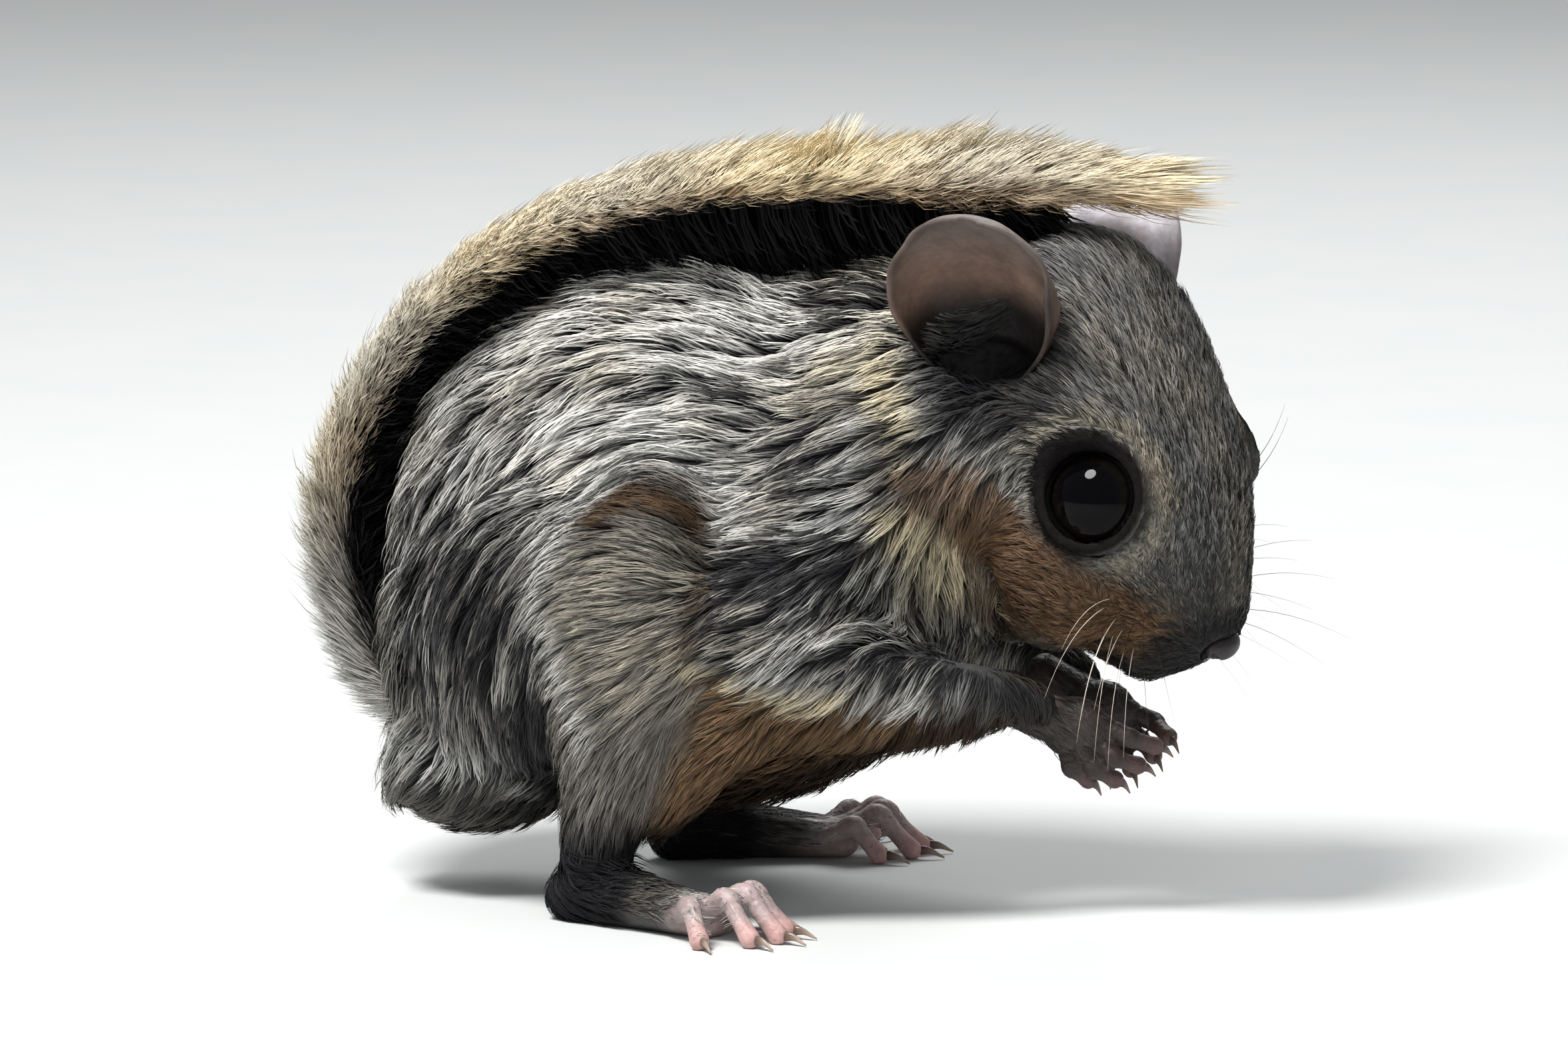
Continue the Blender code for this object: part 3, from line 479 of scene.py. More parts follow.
def turned_out(place):
    return Matrix.Rotation(math.radians(FOOT_YAW), 3, "Z") @ Vector(place)


def foot_form(form, side, ankle_only=False):
    heel = Vector(HEEL)
    shank_foot = (Vector((-9.8, 17.0, 3.6)), Vector((-9.2, 17.2, 6.6)))
    ankle = ((heel + Vector((1.2, 0.2, 2.8)), 2.4, 2.3), (shank_foot[0], 2.6, 2.4), (shank_foot[1], 3.0, 2.5))
    tube(form, ankle, side, 10, 16)
    if ankle_only:
        return
    sole = [(heel + turned_out(place), tall, wide) for place, wide, tall in FOOT_SOLE]
    tube(form, sole, side, 16, 18)
    for digit in FOOT_DIGITS:
        root, knuckle, tip = (heel + turned_out(place) for place in digit)
        r = FOOT_DIGIT_RADIUS
        stations = (
            (root, r * 1.15, r * 1.1),
            (root.lerp(knuckle, 0.6), r * 0.95, r * 0.95),
            (knuckle, r * 1.08, r * 1.0),
            (knuckle.lerp(tip, 0.5), r * 0.82, r * 0.84),
            (tip, r * 0.98, r * 0.9),
        )
        tube(form, stations, side, 24, 14)


def read_mesh(mesh):
    places = np.zeros(len(mesh.vertices) * 3)
    mesh.vertices.foreach_get("co", places)
    mesh.calc_loop_triangles()
    corners = np.zeros(len(mesh.loop_triangles) * 3, np.int64)
    mesh.loop_triangles.foreach_get("vertices", corners)
    return places.reshape(-1, 3), corners.reshape(-1, 3)


def vertex_normals(places, corners):
    a, b, c = (places[corners[:, i]] for i in range(3))
    face = np.cross(b - a, c - a)
    total = np.zeros_like(places)
    for i in range(3):
        for axis in range(3):
            total[:, axis] += np.bincount(corners[:, i], face[:, axis], len(places))
    return unit(total)


class Surface:
    """A skin as arrays, with averaging over neighbours and lookups of the nearest place."""

    def __init__(self, places, corners):
        self.places, self.corners = places, corners
        pairs = np.concatenate([corners[:, [0, 1]], corners[:, [1, 2]], corners[:, [2, 0]]])
        self.ends = np.unique(np.sort(pairs, axis=1), axis=0)
        self.count = np.bincount(self.ends.ravel(), minlength=len(places)).astype(float)
        self.normals = vertex_normals(places, corners)
        self.tree = None

    def averaged(self, values, times, share=0.7):
        values = np.array(values, float)
        flat = values.reshape(len(values), -1)
        a, b = self.ends.T
        for _ in range(times):
            for k in range(flat.shape[1]):
                column = flat[:, k]
                total = np.bincount(a, column[b], len(flat)) + np.bincount(b, column[a], len(flat))
                flat[:, k] = column * (1 - share) + share * total / np.maximum(self.count, 1)
        return flat.reshape(values.shape)

    def grow_tree(self):
        self.tree = BVHTree.FromPolygons(self.places.tolist(), self.corners.tolist(), all_triangles=True)
        a, b, c = (self.places[self.corners[:, i]] for i in range(3))
        self.face_ways = unit(self.normals[self.corners].mean(axis=1))
        self.areas = np.linalg.norm(np.cross(b - a, c - a), axis=1) / 2


def build_flesh():
    form = largest_shell(melted(gather_flesh(), SKIN_VOXEL, 4))
    bmesh.ops.triangulate(form, faces=form.faces)
    mesh = bpy.data.meshes.new("flesh")
    form.to_mesh(mesh)
    form.free()
    places, corners = read_mesh(mesh)
    bpy.data.meshes.remove(mesh)
    return Surface(places, corners)


GROUPS = ("head", "neck", "torso", "arm", "thigh", "shank", "membrane", "tail", "paw")


def group_of(node):
    for key, group in (
        ("head", "head"), ("jaw", "head"), ("neck", "neck"), ("torso", "torso"), ("upper_arm", "arm"),
        ("forearm", "arm"), ("thigh", "thigh"), ("shank", "shank"), ("membrane", "membrane"),
    ):
        if node.startswith(key):
            return GROUPS.index(group)
    return GROUPS.index("tail")


def group_weights(surface):
    """How much each group owns each place of the skin, soft at the borders."""
    places, corners, owners = [], [], []
    start = 0
    for node in FLESH + ["hand_right", "hand_left", "foot_right", "foot_left"]:
        form = solid_copy(node, 0.0)
        form.faces.ensure_lookup_table()
        for vert in form.verts:
            places.append(vert.co.copy())
        for face in form.faces:
            corners.append([start + vert.index for vert in face.verts])
            owners.append(GROUPS.index("paw") if node.startswith(("hand", "foot")) else group_of(node))
        start += len(form.verts)
        form.free()
    core = bmesh.new()
    add_tail_core(core)
    core.verts.index_update()
    for vert in core.verts:
        places.append(vert.co.copy())
    for face in core.faces:
        corners.append([start + vert.index for vert in face.verts])
        owners.append(GROUPS.index("tail"))
    core.free()
    tree = BVHTree.FromPolygons(places, corners)
    owned = np.array([owners[tree.find_nearest(place)[2]] for place in surface.places.tolist()])
    weights = np.eye(len(GROUPS))[owned]
    return surface.averaged(weights, 4), owned


def own_side(places):
    """Places folded onto the left side, and the sign that folds them."""
    sign = np.where(places[:, 1] < 0, -1.0, 1.0)
    folded = places.copy()
    folded[:, 1] *= sign
    return folded, sign


def in_head(places):
    """Places as (behind the nose, out, up), and the sign of the side."""
    turned = np.c_[places, np.ones(len(places))] @ np.array(HEAD_BACK).T
    sign = np.where(turned[:, 1] < 0, -1.0, 1.0)
    return np.c_[-turned[:, 0], turned[:, 1] * sign, turned[:, 2]], sign


# The lie of the coat: at a place (x, out, z), the way its hair points.
LIE = {
    "torso": (
        ((2, 8, 54), (-0.97, 0.0, 0.12)),
        ((-9, 6, 55), (-1.0, 0.0, -0.12)),
        ((-18, 8, 51), (-0.85, 0.05, -0.5)),
        ((-27, 8, 43), (-0.6, 0.05, -0.8)),
        ((-30, 10, 37), (-0.35, 0.0, -0.93)),
        ((-20, 15, 38), (-0.55, 0.0, -0.83)),
        ((-10, 16, 43), (-0.8, 0.0, -0.6)),
        ((0, 14, 48), (-0.98, 0.0, -0.12)),
        ((5, 15, 43), (-0.98, 0.0, -0.08)),
        ((3, 17, 37), (-0.93, 0.0, -0.3)),
        ((-26, 14, 27), (-0.2, 0.0, -0.97)),
        ((-24, 14, 20), (-0.25, 0.0, -0.96)),
        ((-28, 12, 12), (-0.75, 0.1, -0.62)),
        ((-18, 12, 8), (-0.5, 0.2, -0.8)),
        ((0, 8, 10), (-0.95, 0.0, -0.2)),
        ((14, 6, 24), (-0.5, 0.2, -0.8)),
        ((2, 14, 22), (-0.7, 0.1, -0.6)),
    ),
    "neck": (
        ((20, 10, 50), (-0.8, 0.1, -0.2)),
        ((18, 12, 44), (-0.8, 0.1, -0.5)),
        ((11, 13, 40), (-0.9, 0.1, -0.35)),
        ((19, 12, 34), (-0.55, 0.1, -0.8)),
        ((20, 8, 25), (0.1, 0.0, -1.0)),
        ((24, 5, 30), (0.6, 0.0, -0.8)),
        ((22, 11, 31), (0.25, 0.1, -0.95)),
        ((12, 2, 56), (-1.0, 0.0, 0.1)),
        ((18, 4, 56), (-1.0, 0.0, 0.2)),
    ),
    "arm": (
        ((9, 13, 38), (-0.92, 0.0, -0.3)),
        ((3, 17, 32), (-0.94, 0.0, -0.3)),
        ((0, 17, 27), (-0.93, 0.0, -0.35)),
        ((8, 17, 30), (-0.93, 0.0, -0.3)),
        ((7, 17, 26), (-0.88, 0.0, -0.45)),
        ((8, 17, 21), (-0.75, 0.0, -0.65)),
        ((14, 14, 24), (-0.72, 0.0, -0.7)),
        ((15, 14, 20), (-0.6, 0.0, -0.8)),
        ((20, 12, 20), (-0.42, 0.0, -0.9)),
        ((24, 10, 20), (-0.25, 0.0, -0.97)),
        ((27, 8, 19), (0.2, 0.0, -0.97)),
        ((14, 10, 20), (-0.6, 0.0, -0.8)),
    ),
    "thigh": (
        ((-26, 14, 24), (-0.25, 0.0, -0.97)),
        ((-20, 18, 22), (-0.3, 0.0, -0.95)),
        ((-18, 16, 33), (-0.55, 0.0, -0.83)),
        ((-12, 18, 28), (-0.5, 0.0, -0.85)),
        ((-16, 16, 14), (-0.15, 0.0, -0.98)),
    ),
    "shank": (
        ((-4, 19, 39), (-0.95, 0.0, 0.15)),
        ((-10, 19, 37), (-0.8, 0.0, -0.5)),
        ((-2, 20, 33), (-0.98, 0.0, 0.12)),
        ((-6, 22, 28), (-0.98, 0.0, -0.12)),
        ((-12, 20, 28), (-0.8, 0.0, -0.5)),
        ((-7, 20, 21), (-0.75, 0.0, -0.62)),
        ((-8, 19, 14), (-0.3, 0.0, -0.95)),
        ((-9, 17, 7), (-0.1, 0.0, -0.98)),
    ),
    "membrane": (
        ((22, 10, 17), (-0.4, 0.0, -0.9)),
        ((12, 16, 17), (-0.7, 0.0, -0.7)),
        ((2, 19, 17), (-0.8, 0.0, -0.6)),
        ((-3, 18, 9), (-0.3, 0.0, -0.95)),
    ),
    "paw": (
        ((30, 5, 16), (0.5, -0.1, -0.8)),
        ((0, 18, 2), (0.95, 0.2, -0.1)),
        ((-9, 17, 5), (0.1, 0.0, -0.99)),
    ),
}

# The same for the head, in its own frame: at (behind the nose, out, up), the way (back, out, up).
HEAD_LIE = (
    ((0.5, 1.5, 4.0), (0.8, 0.2, 0.5)),
    ((3.0, 0.0, 5.0), (0.95, 0.0, 0.3)),
    ((8.0, 0.0, 7.0), (1.0, 0.0, 0.1)),
    ((16.0, 0.0, 9.0), (1.0, 0.0, 0.0)),
    ((26.0, 0.0, 9.0), (1.0, 0.0, -0.05)),
    ((34.0, 0.0, 7.0), (1.0, 0.0, -0.3)),
    ((38.0, 0.0, 4.0), (0.8, 0.0, -0.8)),
    ((7.0, 5.5, 1.5), (0.95, 0.1, 0.25)),
    ((11.0, 7.0, 3.5), (0.85, 0.05, 0.5)),
    ((11.0, 8.0, -2.5), (0.9, 0.3, -0.2)),
    ((17.0, 8.0, 7.5), (1.0, 0.0, 0.1)),
    ((23.5, 10.5, 3.0), (0.75, 0.1, -0.75)),
    ((24.0, 11.5, -3.0), (0.25, 0.1, -1.0)),
    ((17.0, 10.0, -7.0), (0.35, 0.1, -0.95)),
    ((28.0, 9.0, 6.0), (0.9, 0.1, -0.3)),
    ((30.0, 11.5, 0.0), (0.4, 0.1, -0.9)),
    ((30.0, 11.0, -8.0), (0.2, 0.0, -1.0)),
    ((12.0, 8.0, -9.0), (0.75, 0.1, -0.65)),
    ((5.0, 5.0, -2.5), (0.5, 0.2, -0.8)),
    ((3.5, 4.0, -6.0), (0.25, 0.2, -0.95)),
    ((1.0, 1.5, -2.0), (0.1, 0.6, -0.8)),
    ((8.0, 3.0, -12.0), (0.9, 0.0, -0.2)),
    ((20.0, 4.0, -13.0), (0.9, 0.0, -0.2)),
    ((22.0, 10.0, -10.0), (0.6, 0.0, -0.8)),
)


def blended_ways(places, guides, power=3.0):
    """At each place, the mean of the guides' ways, the near ones counting most."""
    total = np.zeros_like(places)
    for place, way in guides:
        gap = np.linalg.norm(places - np.array(place, float), axis=1)
        total += np.array(way, float) / np.maximum(gap, 0.8)[:, None] ** power
    return unit(total)


def lie_of_coat(surface, owned):
    folded, sign = own_side(surface.places)
    ways = np.zeros_like(surface.places)
    for group, guides in LIE.items():
        mine = owned == GROUPS.index(group)
        made = blended_ways(folded[mine], guides)
        made[:, 1] *= sign[mine]
        ways[mine] = made
    mine = owned == GROUPS.index("head")
    inside, head_sign = in_head(surface.places[mine])
    made = blended_ways(inside, HEAD_LIE)
    made = np.c_[-made[:, 0], made[:, 1] * head_sign, made[:, 2]] @ np.array(HEAD.to_3x3()).T
    ways[mine] = made
    mine = owned == GROUPS.index("tail")
    ways[mine] = (0.0, 0.0, 1.0)
    for _ in range(3):
        ways -= surface.normals * (ways * surface.normals).sum(1, keepdims=True)
        ways = surface.averaged(unit(ways), 5)
    loose = np.array([0.35, 0.8, 1.0, 0.9, 0.9, 0.45, 0.6, 0.5, 0.3])[owned]
    turn = np.radians(19 * cloud(surface.places, 4.6, 7) + 11 * cloud(surface.places, 2.0, 8)) * loose
    ways = ways * np.cos(turn)[:, None] + np.cross(surface.normals, ways) * np.sin(turn)[:, None]
    ways -= surface.normals * (ways * surface.normals).sum(1, keepdims=True)
    return unit(ways)


# The coat's depth, length, markings and painted shade over the skin

DEPTH = {"head": 0.9, "neck": 1.9, "torso": 2.1, "arm": 1.5, "thigh": 1.5, "shank": 1.0, "membrane": 0.45, "tail": 0.25, "paw": 0.12}
LENGTH = {"head": 2.0, "neck": 4.3, "torso": 5.2, "arm": 4.9, "thigh": 4.8, "shank": 3.6, "membrane": 2.6, "tail": 4.0, "paw": 0.8}
STRANDS = {"head": 29.0, "neck": 14.5, "torso": 12.0, "arm": 14.0, "thigh": 13.5, "shank": 18.0, "membrane": 16.0, "tail": 0.0, "paw": 24.0}
LOCKS = {"head": 0.9, "neck": 0.22, "torso": 0.19, "arm": 0.22, "thigh": 0.2, "shank": 0.42, "membrane": 0.5, "tail": 0.0, "paw": 0.8}
EYE_RIM = 5.3


def group_value(weights, values):
    return weights @ np.array([values[group] for group in GROUPS])


def eye_gap(places):
    """How far each place lies from the axis of its own side's eye, and how far out along it."""
    inside, _ = in_head(places)
    way = unit(np.array(EYE_FACES, float))
    offset = inside - np.array(EYE_PLACE)
    out = offset @ way
    return np.linalg.norm(offset - out[:, None] * way, axis=1), out


def ear_hollow(places, reach=5.9, height=4.3):
    """From 0 to 1: how deep each place lies in the hollow at the foot of an ear, which is painted dark as shade."""
    best = np.zeros(len(places))
    for side in SIDES:
        tall = head_way(EAR_POINTS[side], side)
        faces = head_way(EAR_FACES, side)
        faces = (faces - tall * faces.dot(tall)).normalized()
        across = tall.cross(faces).normalized() * -SIDES[side]
        middle = on_head(EAR_BASE[side], side) + tall * height + across * 0.6
        gap = np.linalg.norm(places - np.array(middle), axis=1)
        best = np.maximum(best, step(reach + 1.5, reach - 1.5, gap))
    return best


def coat_depth(surface, weights):
    depth = group_value(weights, DEPTH)
    inside, _ = in_head(surface.places)
    back, up = inside[:, 0], inside[:, 2]
    head = 0.28 + 0.75 * step(3, 28, back) + 0.5 * step(15, 27, back) * step(-3, -10, up)
    depth = depth + weights[:, 0] * (head - DEPTH["head"])
    gap, out = eye_gap(surface.places)
    near_eye = (out > -1.5) & (back < 30)
    depth = np.where(near_eye, depth * (0.06 + 0.94 * step(EYE_RIM - 0.8, EYE_RIM + 3.2, gap)), depth)
    folded, _ = own_side(surface.places)
    wrist = np.linalg.norm(folded - np.array(WRIST), axis=1)
    depth *= 0.3 + 0.7 * step(1.5, 11, wrist)
    depth = np.where(folded[:, 2] < 12, depth * (0.45 + 0.55 * np.maximum(step(3, 12, folded[:, 2]), weights[:, 2])), depth)
    under = step(-0.2, -0.8, surface.normals[:, 2]) * weights[:, 2]
    depth = depth * (1 - 0.4 * under) * (1 - 0.75 * ear_hollow(surface.places))
    return surface.averaged(depth, 8)


def coat_length(surface, weights):
    length = group_value(weights, LENGTH)
    inside, _ = in_head(surface.places)
    back, up = inside[:, 0], inside[:, 2]
    head = 0.8 + 1.6 * step(2, 26, back) + 1.4 * step(14, 27, back) * step(-2, -10, up) + 0.8 * step(28, 36, back)
    length = length + weights[:, 0] * (head - LENGTH["head"])
    gap, out = eye_gap(surface.places)
    near_eye = (out > -1.5) & (back < 30)
    length = np.where(near_eye, length * (0.28 + 0.72 * step(EYE_RIM - 0.5, EYE_RIM + 3.5, gap)), length)
    folded, _ = own_side(surface.places)
    wrist = np.linalg.norm(folded - np.array(WRIST), axis=1)
    length *= 0.28 + 0.72 * step(1.0, 10, wrist)
    length = np.where(folded[:, 2] < 12, length * (0.45 + 0.55 * np.maximum(step(3, 12, folded[:, 2]), weights[:, 2])), length)
    length = length * (1 + 0.35 * step(17, 13, folded[:, 2]) * step(-16, -22, folded[:, 0]) * weights[:, 2])
    under = step(-0.2, -0.8, surface.normals[:, 2]) * weights[:, 2]
    length = length * (1 - 0.45 * under) * (1 - 0.7 * ear_hollow(surface.places, 6.4))
    return surface.averaged(length, 6)


def cloud(places, size, seed):
    """Smooth noise from about -1 to 1 at each place."""
    offset = Vector((seed * 7.31, seed * 3.17, seed * 5.73))
    return np.array([noise.noise(Vector(place) / size + offset) for place in places.tolist()]) * 1.6


def underside_line(x):
    """The height of the fold's lower edge, where the grey of the upper side meets the buff below."""
    return np.interp(x, (-6.0, -0.5, 4.0, 12.0, 27.0), (24.0, 22.8, 20.2, 18.4, 17.0))


def near_line(x, z, points, width, soft=0.6):
    """From 0 to 1: how near each place (x, z) lies to a bent line."""
    best = np.full(len(x), 1e9)
    for (x0, z0), (x1, z1) in zip(points, points[1:]):
        dx, dz = x1 - x0, z1 - z0
        t = np.clip(((x - x0) * dx + (z - z0) * dz) / (dx * dx + dz * dz), 0, 1)
        best = np.minimum(best, np.hypot(x - x0 - t * dx, z - z0 - t * dz))
    return step(width + soft, width - soft, best)


def inside_shape(x, z, points, soft):
    """From 0 outside to 1 inside a closed outline of (x, z), soft at its edge."""
    inside = np.zeros(len(x), bool)
    gap = np.full(len(x), 1e9)
    for (x0, z0), (x1, z1) in zip(points, points[1:] + points[:1]):
        dx, dz = x1 - x0, z1 - z0
        t = np.clip(((x - x0) * dx + (z - z0) * dz) / (dx * dx + dz * dz), 0, 1)
        gap = np.minimum(gap, np.hypot(x - x0 - t * dx, z - z0 - t * dz))
        if z0 != z1:
            crossing = ((z0 > z) != (z1 > z)) & (x < x0 + (z - z0) * dx / dz)
            inside ^= crossing
    return step(-soft, soft, np.where(inside, gap, -gap))


# Lines of colour on the hind leg's outer face, as (x, z).
KNEE_PALE = ((-13.7, 32.5), (-11.6, 36.7), (-8.4, 39.7), (-5.2, 41.2), (-1.7, 40.7), (1.4, 38.2), (2.4, 35.6))
KNEE_BROWN = ((-9.5, 35.9), (-7.4, 37.5), (-4.6, 38.3), (-1.4, 37.5), (0.8, 35.6), (1.7, 33.2), (1.2, 29.1), (0.1, 23.9))
SHIN_PALE = ((-13.7, 32.5), (-14.3, 29.7), (-13.6, 25.6), (-11.9, 21.2), (-9.8, 16.1))
FOLD_FRINGE = ((-0.8, 22.4), (2.0, 21.3), (4.8, 19.9), (8.4, 19.1), (11.9, 18.7))

# The brown of the cheek and the cream hair behind it, as outlines of (x, z) on the side of the head and neck.
CHEEK_SHAPE = (
    (15.4, 40.0), (20.2, 40.2), (24.5, 37.6), (28.5, 33.8), (32.6, 31.2), (35.6, 29.4),
    (37.6, 25.6), (34.0, 21.5), (28.6, 20.6), (24.2, 24.2), (20.9, 29.6), (17.6, 34.2),
)
RUFF_SHAPE = ((14.6, 36.2), (18.0, 35.2), (21.1, 30.6), (24.4, 25.0), (21.2, 25.6), (17.9, 29.2), (15.2, 32.2))
SHOULDER_SHAPE = ((13.1, 50.3), (15.9, 47.7), (17.7, 43.6), (16.8, 39.8), (13.8, 42.8), (12.4, 47.0))

# Painted shade: where the coat is darkened most, shown by more dark underfur between the locks: (x, z), the half sizes,
# and how much.
SHADE_SPOTS = (
    ((9.0, 31.0), (8.5, 5.0), 0.80),
    ((4.5, 37.0), (4.0, 3.5), 0.45),
    ((10.0, 54.0), (6.0, 3.0), 0.78),
    ((0.5, 46.5), (3.0, 1.2), 0.65),
    ((-8.0, 45.5), (2.5, 1.0), 0.45),
    ((-19.0, 42.5), (2.6, 1.2), 0.50),
    ((-24.0, 38.0), (5.0, 6.0), 0.35),
    ((6.5, 39.5), (6.5, 4.0), 0.62),
    ((-22.0, 25.0), (9.0, 9.0), 0.82),
    ((-15.5, 13.0), (3.4, 9.0), 0.97),
    ((21.5, 49.0), (5.0, 3.0), 0.62),
    ((17.4, 33.4), (1.6, 1.2), 0.60),
    ((15.5, 37.5), (1.8, 3.0), 0.55),
    ((23.5, 42.5), (4.5, 3.0), 0.45),
    ((12.0, 22.5), (12.0, 3.2), 0.42),
    ((24.0, 23.5), (3.5, 2.6), 0.85),
    ((3.2, 31.0), (1.5, 7.5), 0.80),
)


def markings_and_shade(surface, weights):
    """The coat's colours at each place of the skin, with painted shade worked in: of the roots, of the length, of the
    tips.
    """
    places, normals = surface.places, surface.normals
    folded, _ = own_side(places)
    x, out, z = folded.T
    inside, _ = in_head(places)
    back, side, up = inside.T
    patch = cloud(places, 7.0, 1)
    fine = cloud(places, 2.2, 2)

    torso = mix(SILVER, BUFF_GREY, np.clip(0.12 + 0.5 * patch + 0.2 * step(-14, -4, x) * step(50, 40, z), 0, 0.8))
    torso = mix(torso, BROWN_GREY, 0.75 * step(34, 20, z) * step(-8, -18, x))
    # Painted shade: the torso's coat is darkened toward the rear, and on the flank below the back from the middle
    # forward.
    torso = torso * (1 - 0.22 * step(-14, -24, x) - 0.36 * step(45, 39, z) * step(-3, 3, x))[:, None]
    belly = step(2.0, -1.0, z - underside_line(x)) * step(-9, -4, x)
    belly = np.maximum(belly, step(-0.35, -0.75, normals[:, 2]) * step(-12, -6, x))
    torso = mix(torso, BELLY, belly * step(23, 19, z))
    # Painted shade: the rear of the torso is darker where its skin faces down.
    torso = mix(torso, BROWN_GREY * 0.6, step(-0.25, -0.7, normals[:, 2]) * step(-6, -12, x))
    skirt = step(16.5, 12.5, z) * step(-14.5, -18, x) * (1 - step(-0.3, -0.75, normals[:, 2]))
    torso = mix(torso, SILVER * 0.78, 0.9 * skirt)

    neck = mix(SILVER, CREAM * 0.9, np.clip(0.4 + 0.5 * patch, 0, 1))
    flank_side = step(5.0, 8.0, out)
    cheek_shape = inside_shape(x, z, CHEEK_SHAPE, 0.8) * flank_side
    ruff_shape = inside_shape(x, z, RUFF_SHAPE, 0.7) * flank_side
    shoulder_shape = inside_shape(x, z, SHOULDER_SHAPE, 1.2) * flank_side
    neck = mix(neck, FACE_GREY, 0.75 * step(17, 21, x) * step(36, 39, z))
    neck = mix(neck, BROWN_GREY * 0.7, 0.7 * step(30, 25, z))
    neck = mix(neck, CHEEK * 0.7, 0.8 * step(19, 22, x) * step(38, 34, z))

    arm = mix(SILVER * 0.80, BUFF_GREY * 0.85, np.clip(0.15 + 0.5 * patch, 0, 1))
    arm = mix(arm, BROWN_GREY * 0.8, step(20, 28, x))
    arm = mix(arm, BELLY, step(0.6, -1.2, z - underside_line(x)))
    membrane = mix(SILVER * 0.85, BELLY, step(0.6, -1.0, z - underside_line(x)))

    thigh = mix(BROWN_GREY, SILVER * 0.8, np.clip(0.35 + 0.5 * patch + 0.4 * step(26, 36, z), 0, 1))
    outer = step(10, 14, out)
    straw = (CREAM + BUFF_GREY + SILVER) * 0.225
    shank = mix(BROWN_GREY * 1.25, straw, np.clip(0.40 + 0.7 * fine, 0, 1) * step(16, 22, z))
    knee_brown = near_line(x, z, KNEE_BROWN, 1.15, 0.7) * outer
    shank = mix(shank, BROWN_GREY * 0.62, 0.75 * near_line(x, z, KNEE_BROWN[:5], 3.6, 1.8) * outer)
    shank = mix(shank, RUST * 0.38, 0.9 * near_line(x, z, KNEE_BROWN[:5], 1.2, 0.7) * outer)
    shank = mix(shank, RUST * 0.8, 0.92 * knee_brown)
    shank = mix(shank, BROWN_GREY, 0.7 * step(19, 12, z))
    shank = mix(shank, INK * 1.5, 0.85 * step(10.5, 6.5, z))

    head = mix(FACE_GREY, FACE_BUFF, np.clip(0.15 + 0.4 * patch + 0.35 * fine, 0, 1))
    head = mix(head, FACE_DARK, 0.85 * step(13, 4, back))
    rim = step(3.5, 0.8, side) * step(2, 6, up) * step(36, 30, back)
    head = mix(head, FACE_BUFF * 1.05, 0.35 * rim)
    cheek = step(-1.5, -5.0, up + 0.22 * (back - 16)) * step(5.5, 9.5, back) * weights[:, 0]
    head = mix(head, mix(CHEEK, FACE_GREY * 0.8, np.clip(0.2 + 0.5 * fine + 0.4 * step(-9, -4, up), 0, 0.7)), 0.92 * cheek)
    head = mix(head, CHEEK * 0.45, 0.8 * step(6.0, 3.0, side) * step(-6, -9, up) * step(8, 12, back))
    pad = step(5.5, 2.0, np.linalg.norm((inside - np.array((6.5, 5.5, -5.0))) * (0.8, 0.5, 0.6), axis=1))
    stripes = step(0.0, 0.5, np.sin(back * 4.2 + 1.1 * up))
    head = mix(head, mix(OCHRE * 0.62, FACE_DARK * 0.25, 0.85 * stripes), 0.8 * pad)
    head = mix(head, FACE_DARK * 0.7, 0.9 * step(4.8, 3.0, back) * step(-8.5, -7.0, up))
    gap, far_out = eye_gap(places)
    face_side = (far_out > -2) & (back < 30)
    spread = np.maximum(gap, 0.5)
    to_nose = (EYE_PLACE[0] - back) / spread
    to_crown = (up - EYE_PLACE[2]) / spread
    front_corner = np.clip(0.8 * to_nose - 0.6 * to_crown, 0, 1) ** 6
    ring_edge = 5.75 - 0.35 * np.clip(to_nose, -1, 1) - 0.25 * np.clip(to_crown, -1, 1) + 0.7 * front_corner
    pale_band = step(ring_edge - 0.2, ring_edge + 0.7, gap) * step(ring_edge + 2.4, ring_edge + 0.9, gap)
    pale_band = pale_band * step(-0.55, 0.1, to_crown + 0.35 * np.maximum(-to_nose, 0))
    head = mix(head, CREAM * 0.75, 0.30 * pale_band * face_side)
    ring = step(ring_edge + 0.55, ring_edge - 0.45, gap) * face_side
    lips = step(-5.0, -6.8, up) * step(5.2, 3.6, back)
    dark = np.maximum(ring, 0.8 * lips)

    outward = np.maximum(normals[:, 2], -normals[:, 0])
    tail = mix(TAIL_DARK, BUFF_GREY * 0.5, step(-0.1, 0.5, outward))
    paw = np.tile(HAND_SKIN, (len(places), 1))
    paw = mix(paw, linear(60, 56, 54), step(9, 3, z) * step(5, -3, x))
    main = sum(weights[:, [i]] * rows for i, rows in enumerate((head, neck, torso, arm, thigh, shank, membrane, tail, paw)))
    rim_of_leg = np.maximum(near_line(x, z, KNEE_PALE, 1.5, 0.8), 0.8 * near_line(x, z, SHIN_PALE, 1.1, 0.9)) * step(6, 10, out)
    near_knee = near_line(x, z, KNEE_PALE, 2.4, 1.4) * step(6, 10, out)
    main = mix(main, SILVER * 0.80, 0.9 * rim_of_leg)
    main = mix(main, CREAM * 0.9, 0.8 * near_line(x, z, FOLD_FRINGE, 0.5, 0.4) * step(12, 14, out))
    main = mix(main, CHEEK, 0.9 * cheek_shape)
    main = mix(main, CREAM, 0.85 * ruff_shape)
    cheek = np.maximum(cheek, cheek_shape)
    hollow = ear_hollow(places)
    round_ear = ear_hollow(places, 7.8, 0.8) * (1 - shoulder_shape)
    main = mix(main, CREAM * 1.15, 0.85 * shoulder_shape)
    main = mix(main, INK * 1.1, 0.85 * round_ear)
    # Painted shade: the hollow at the foot of each ear is painted near-black.
    main = mix(main, INK * 0.3, 0.95 * hollow)
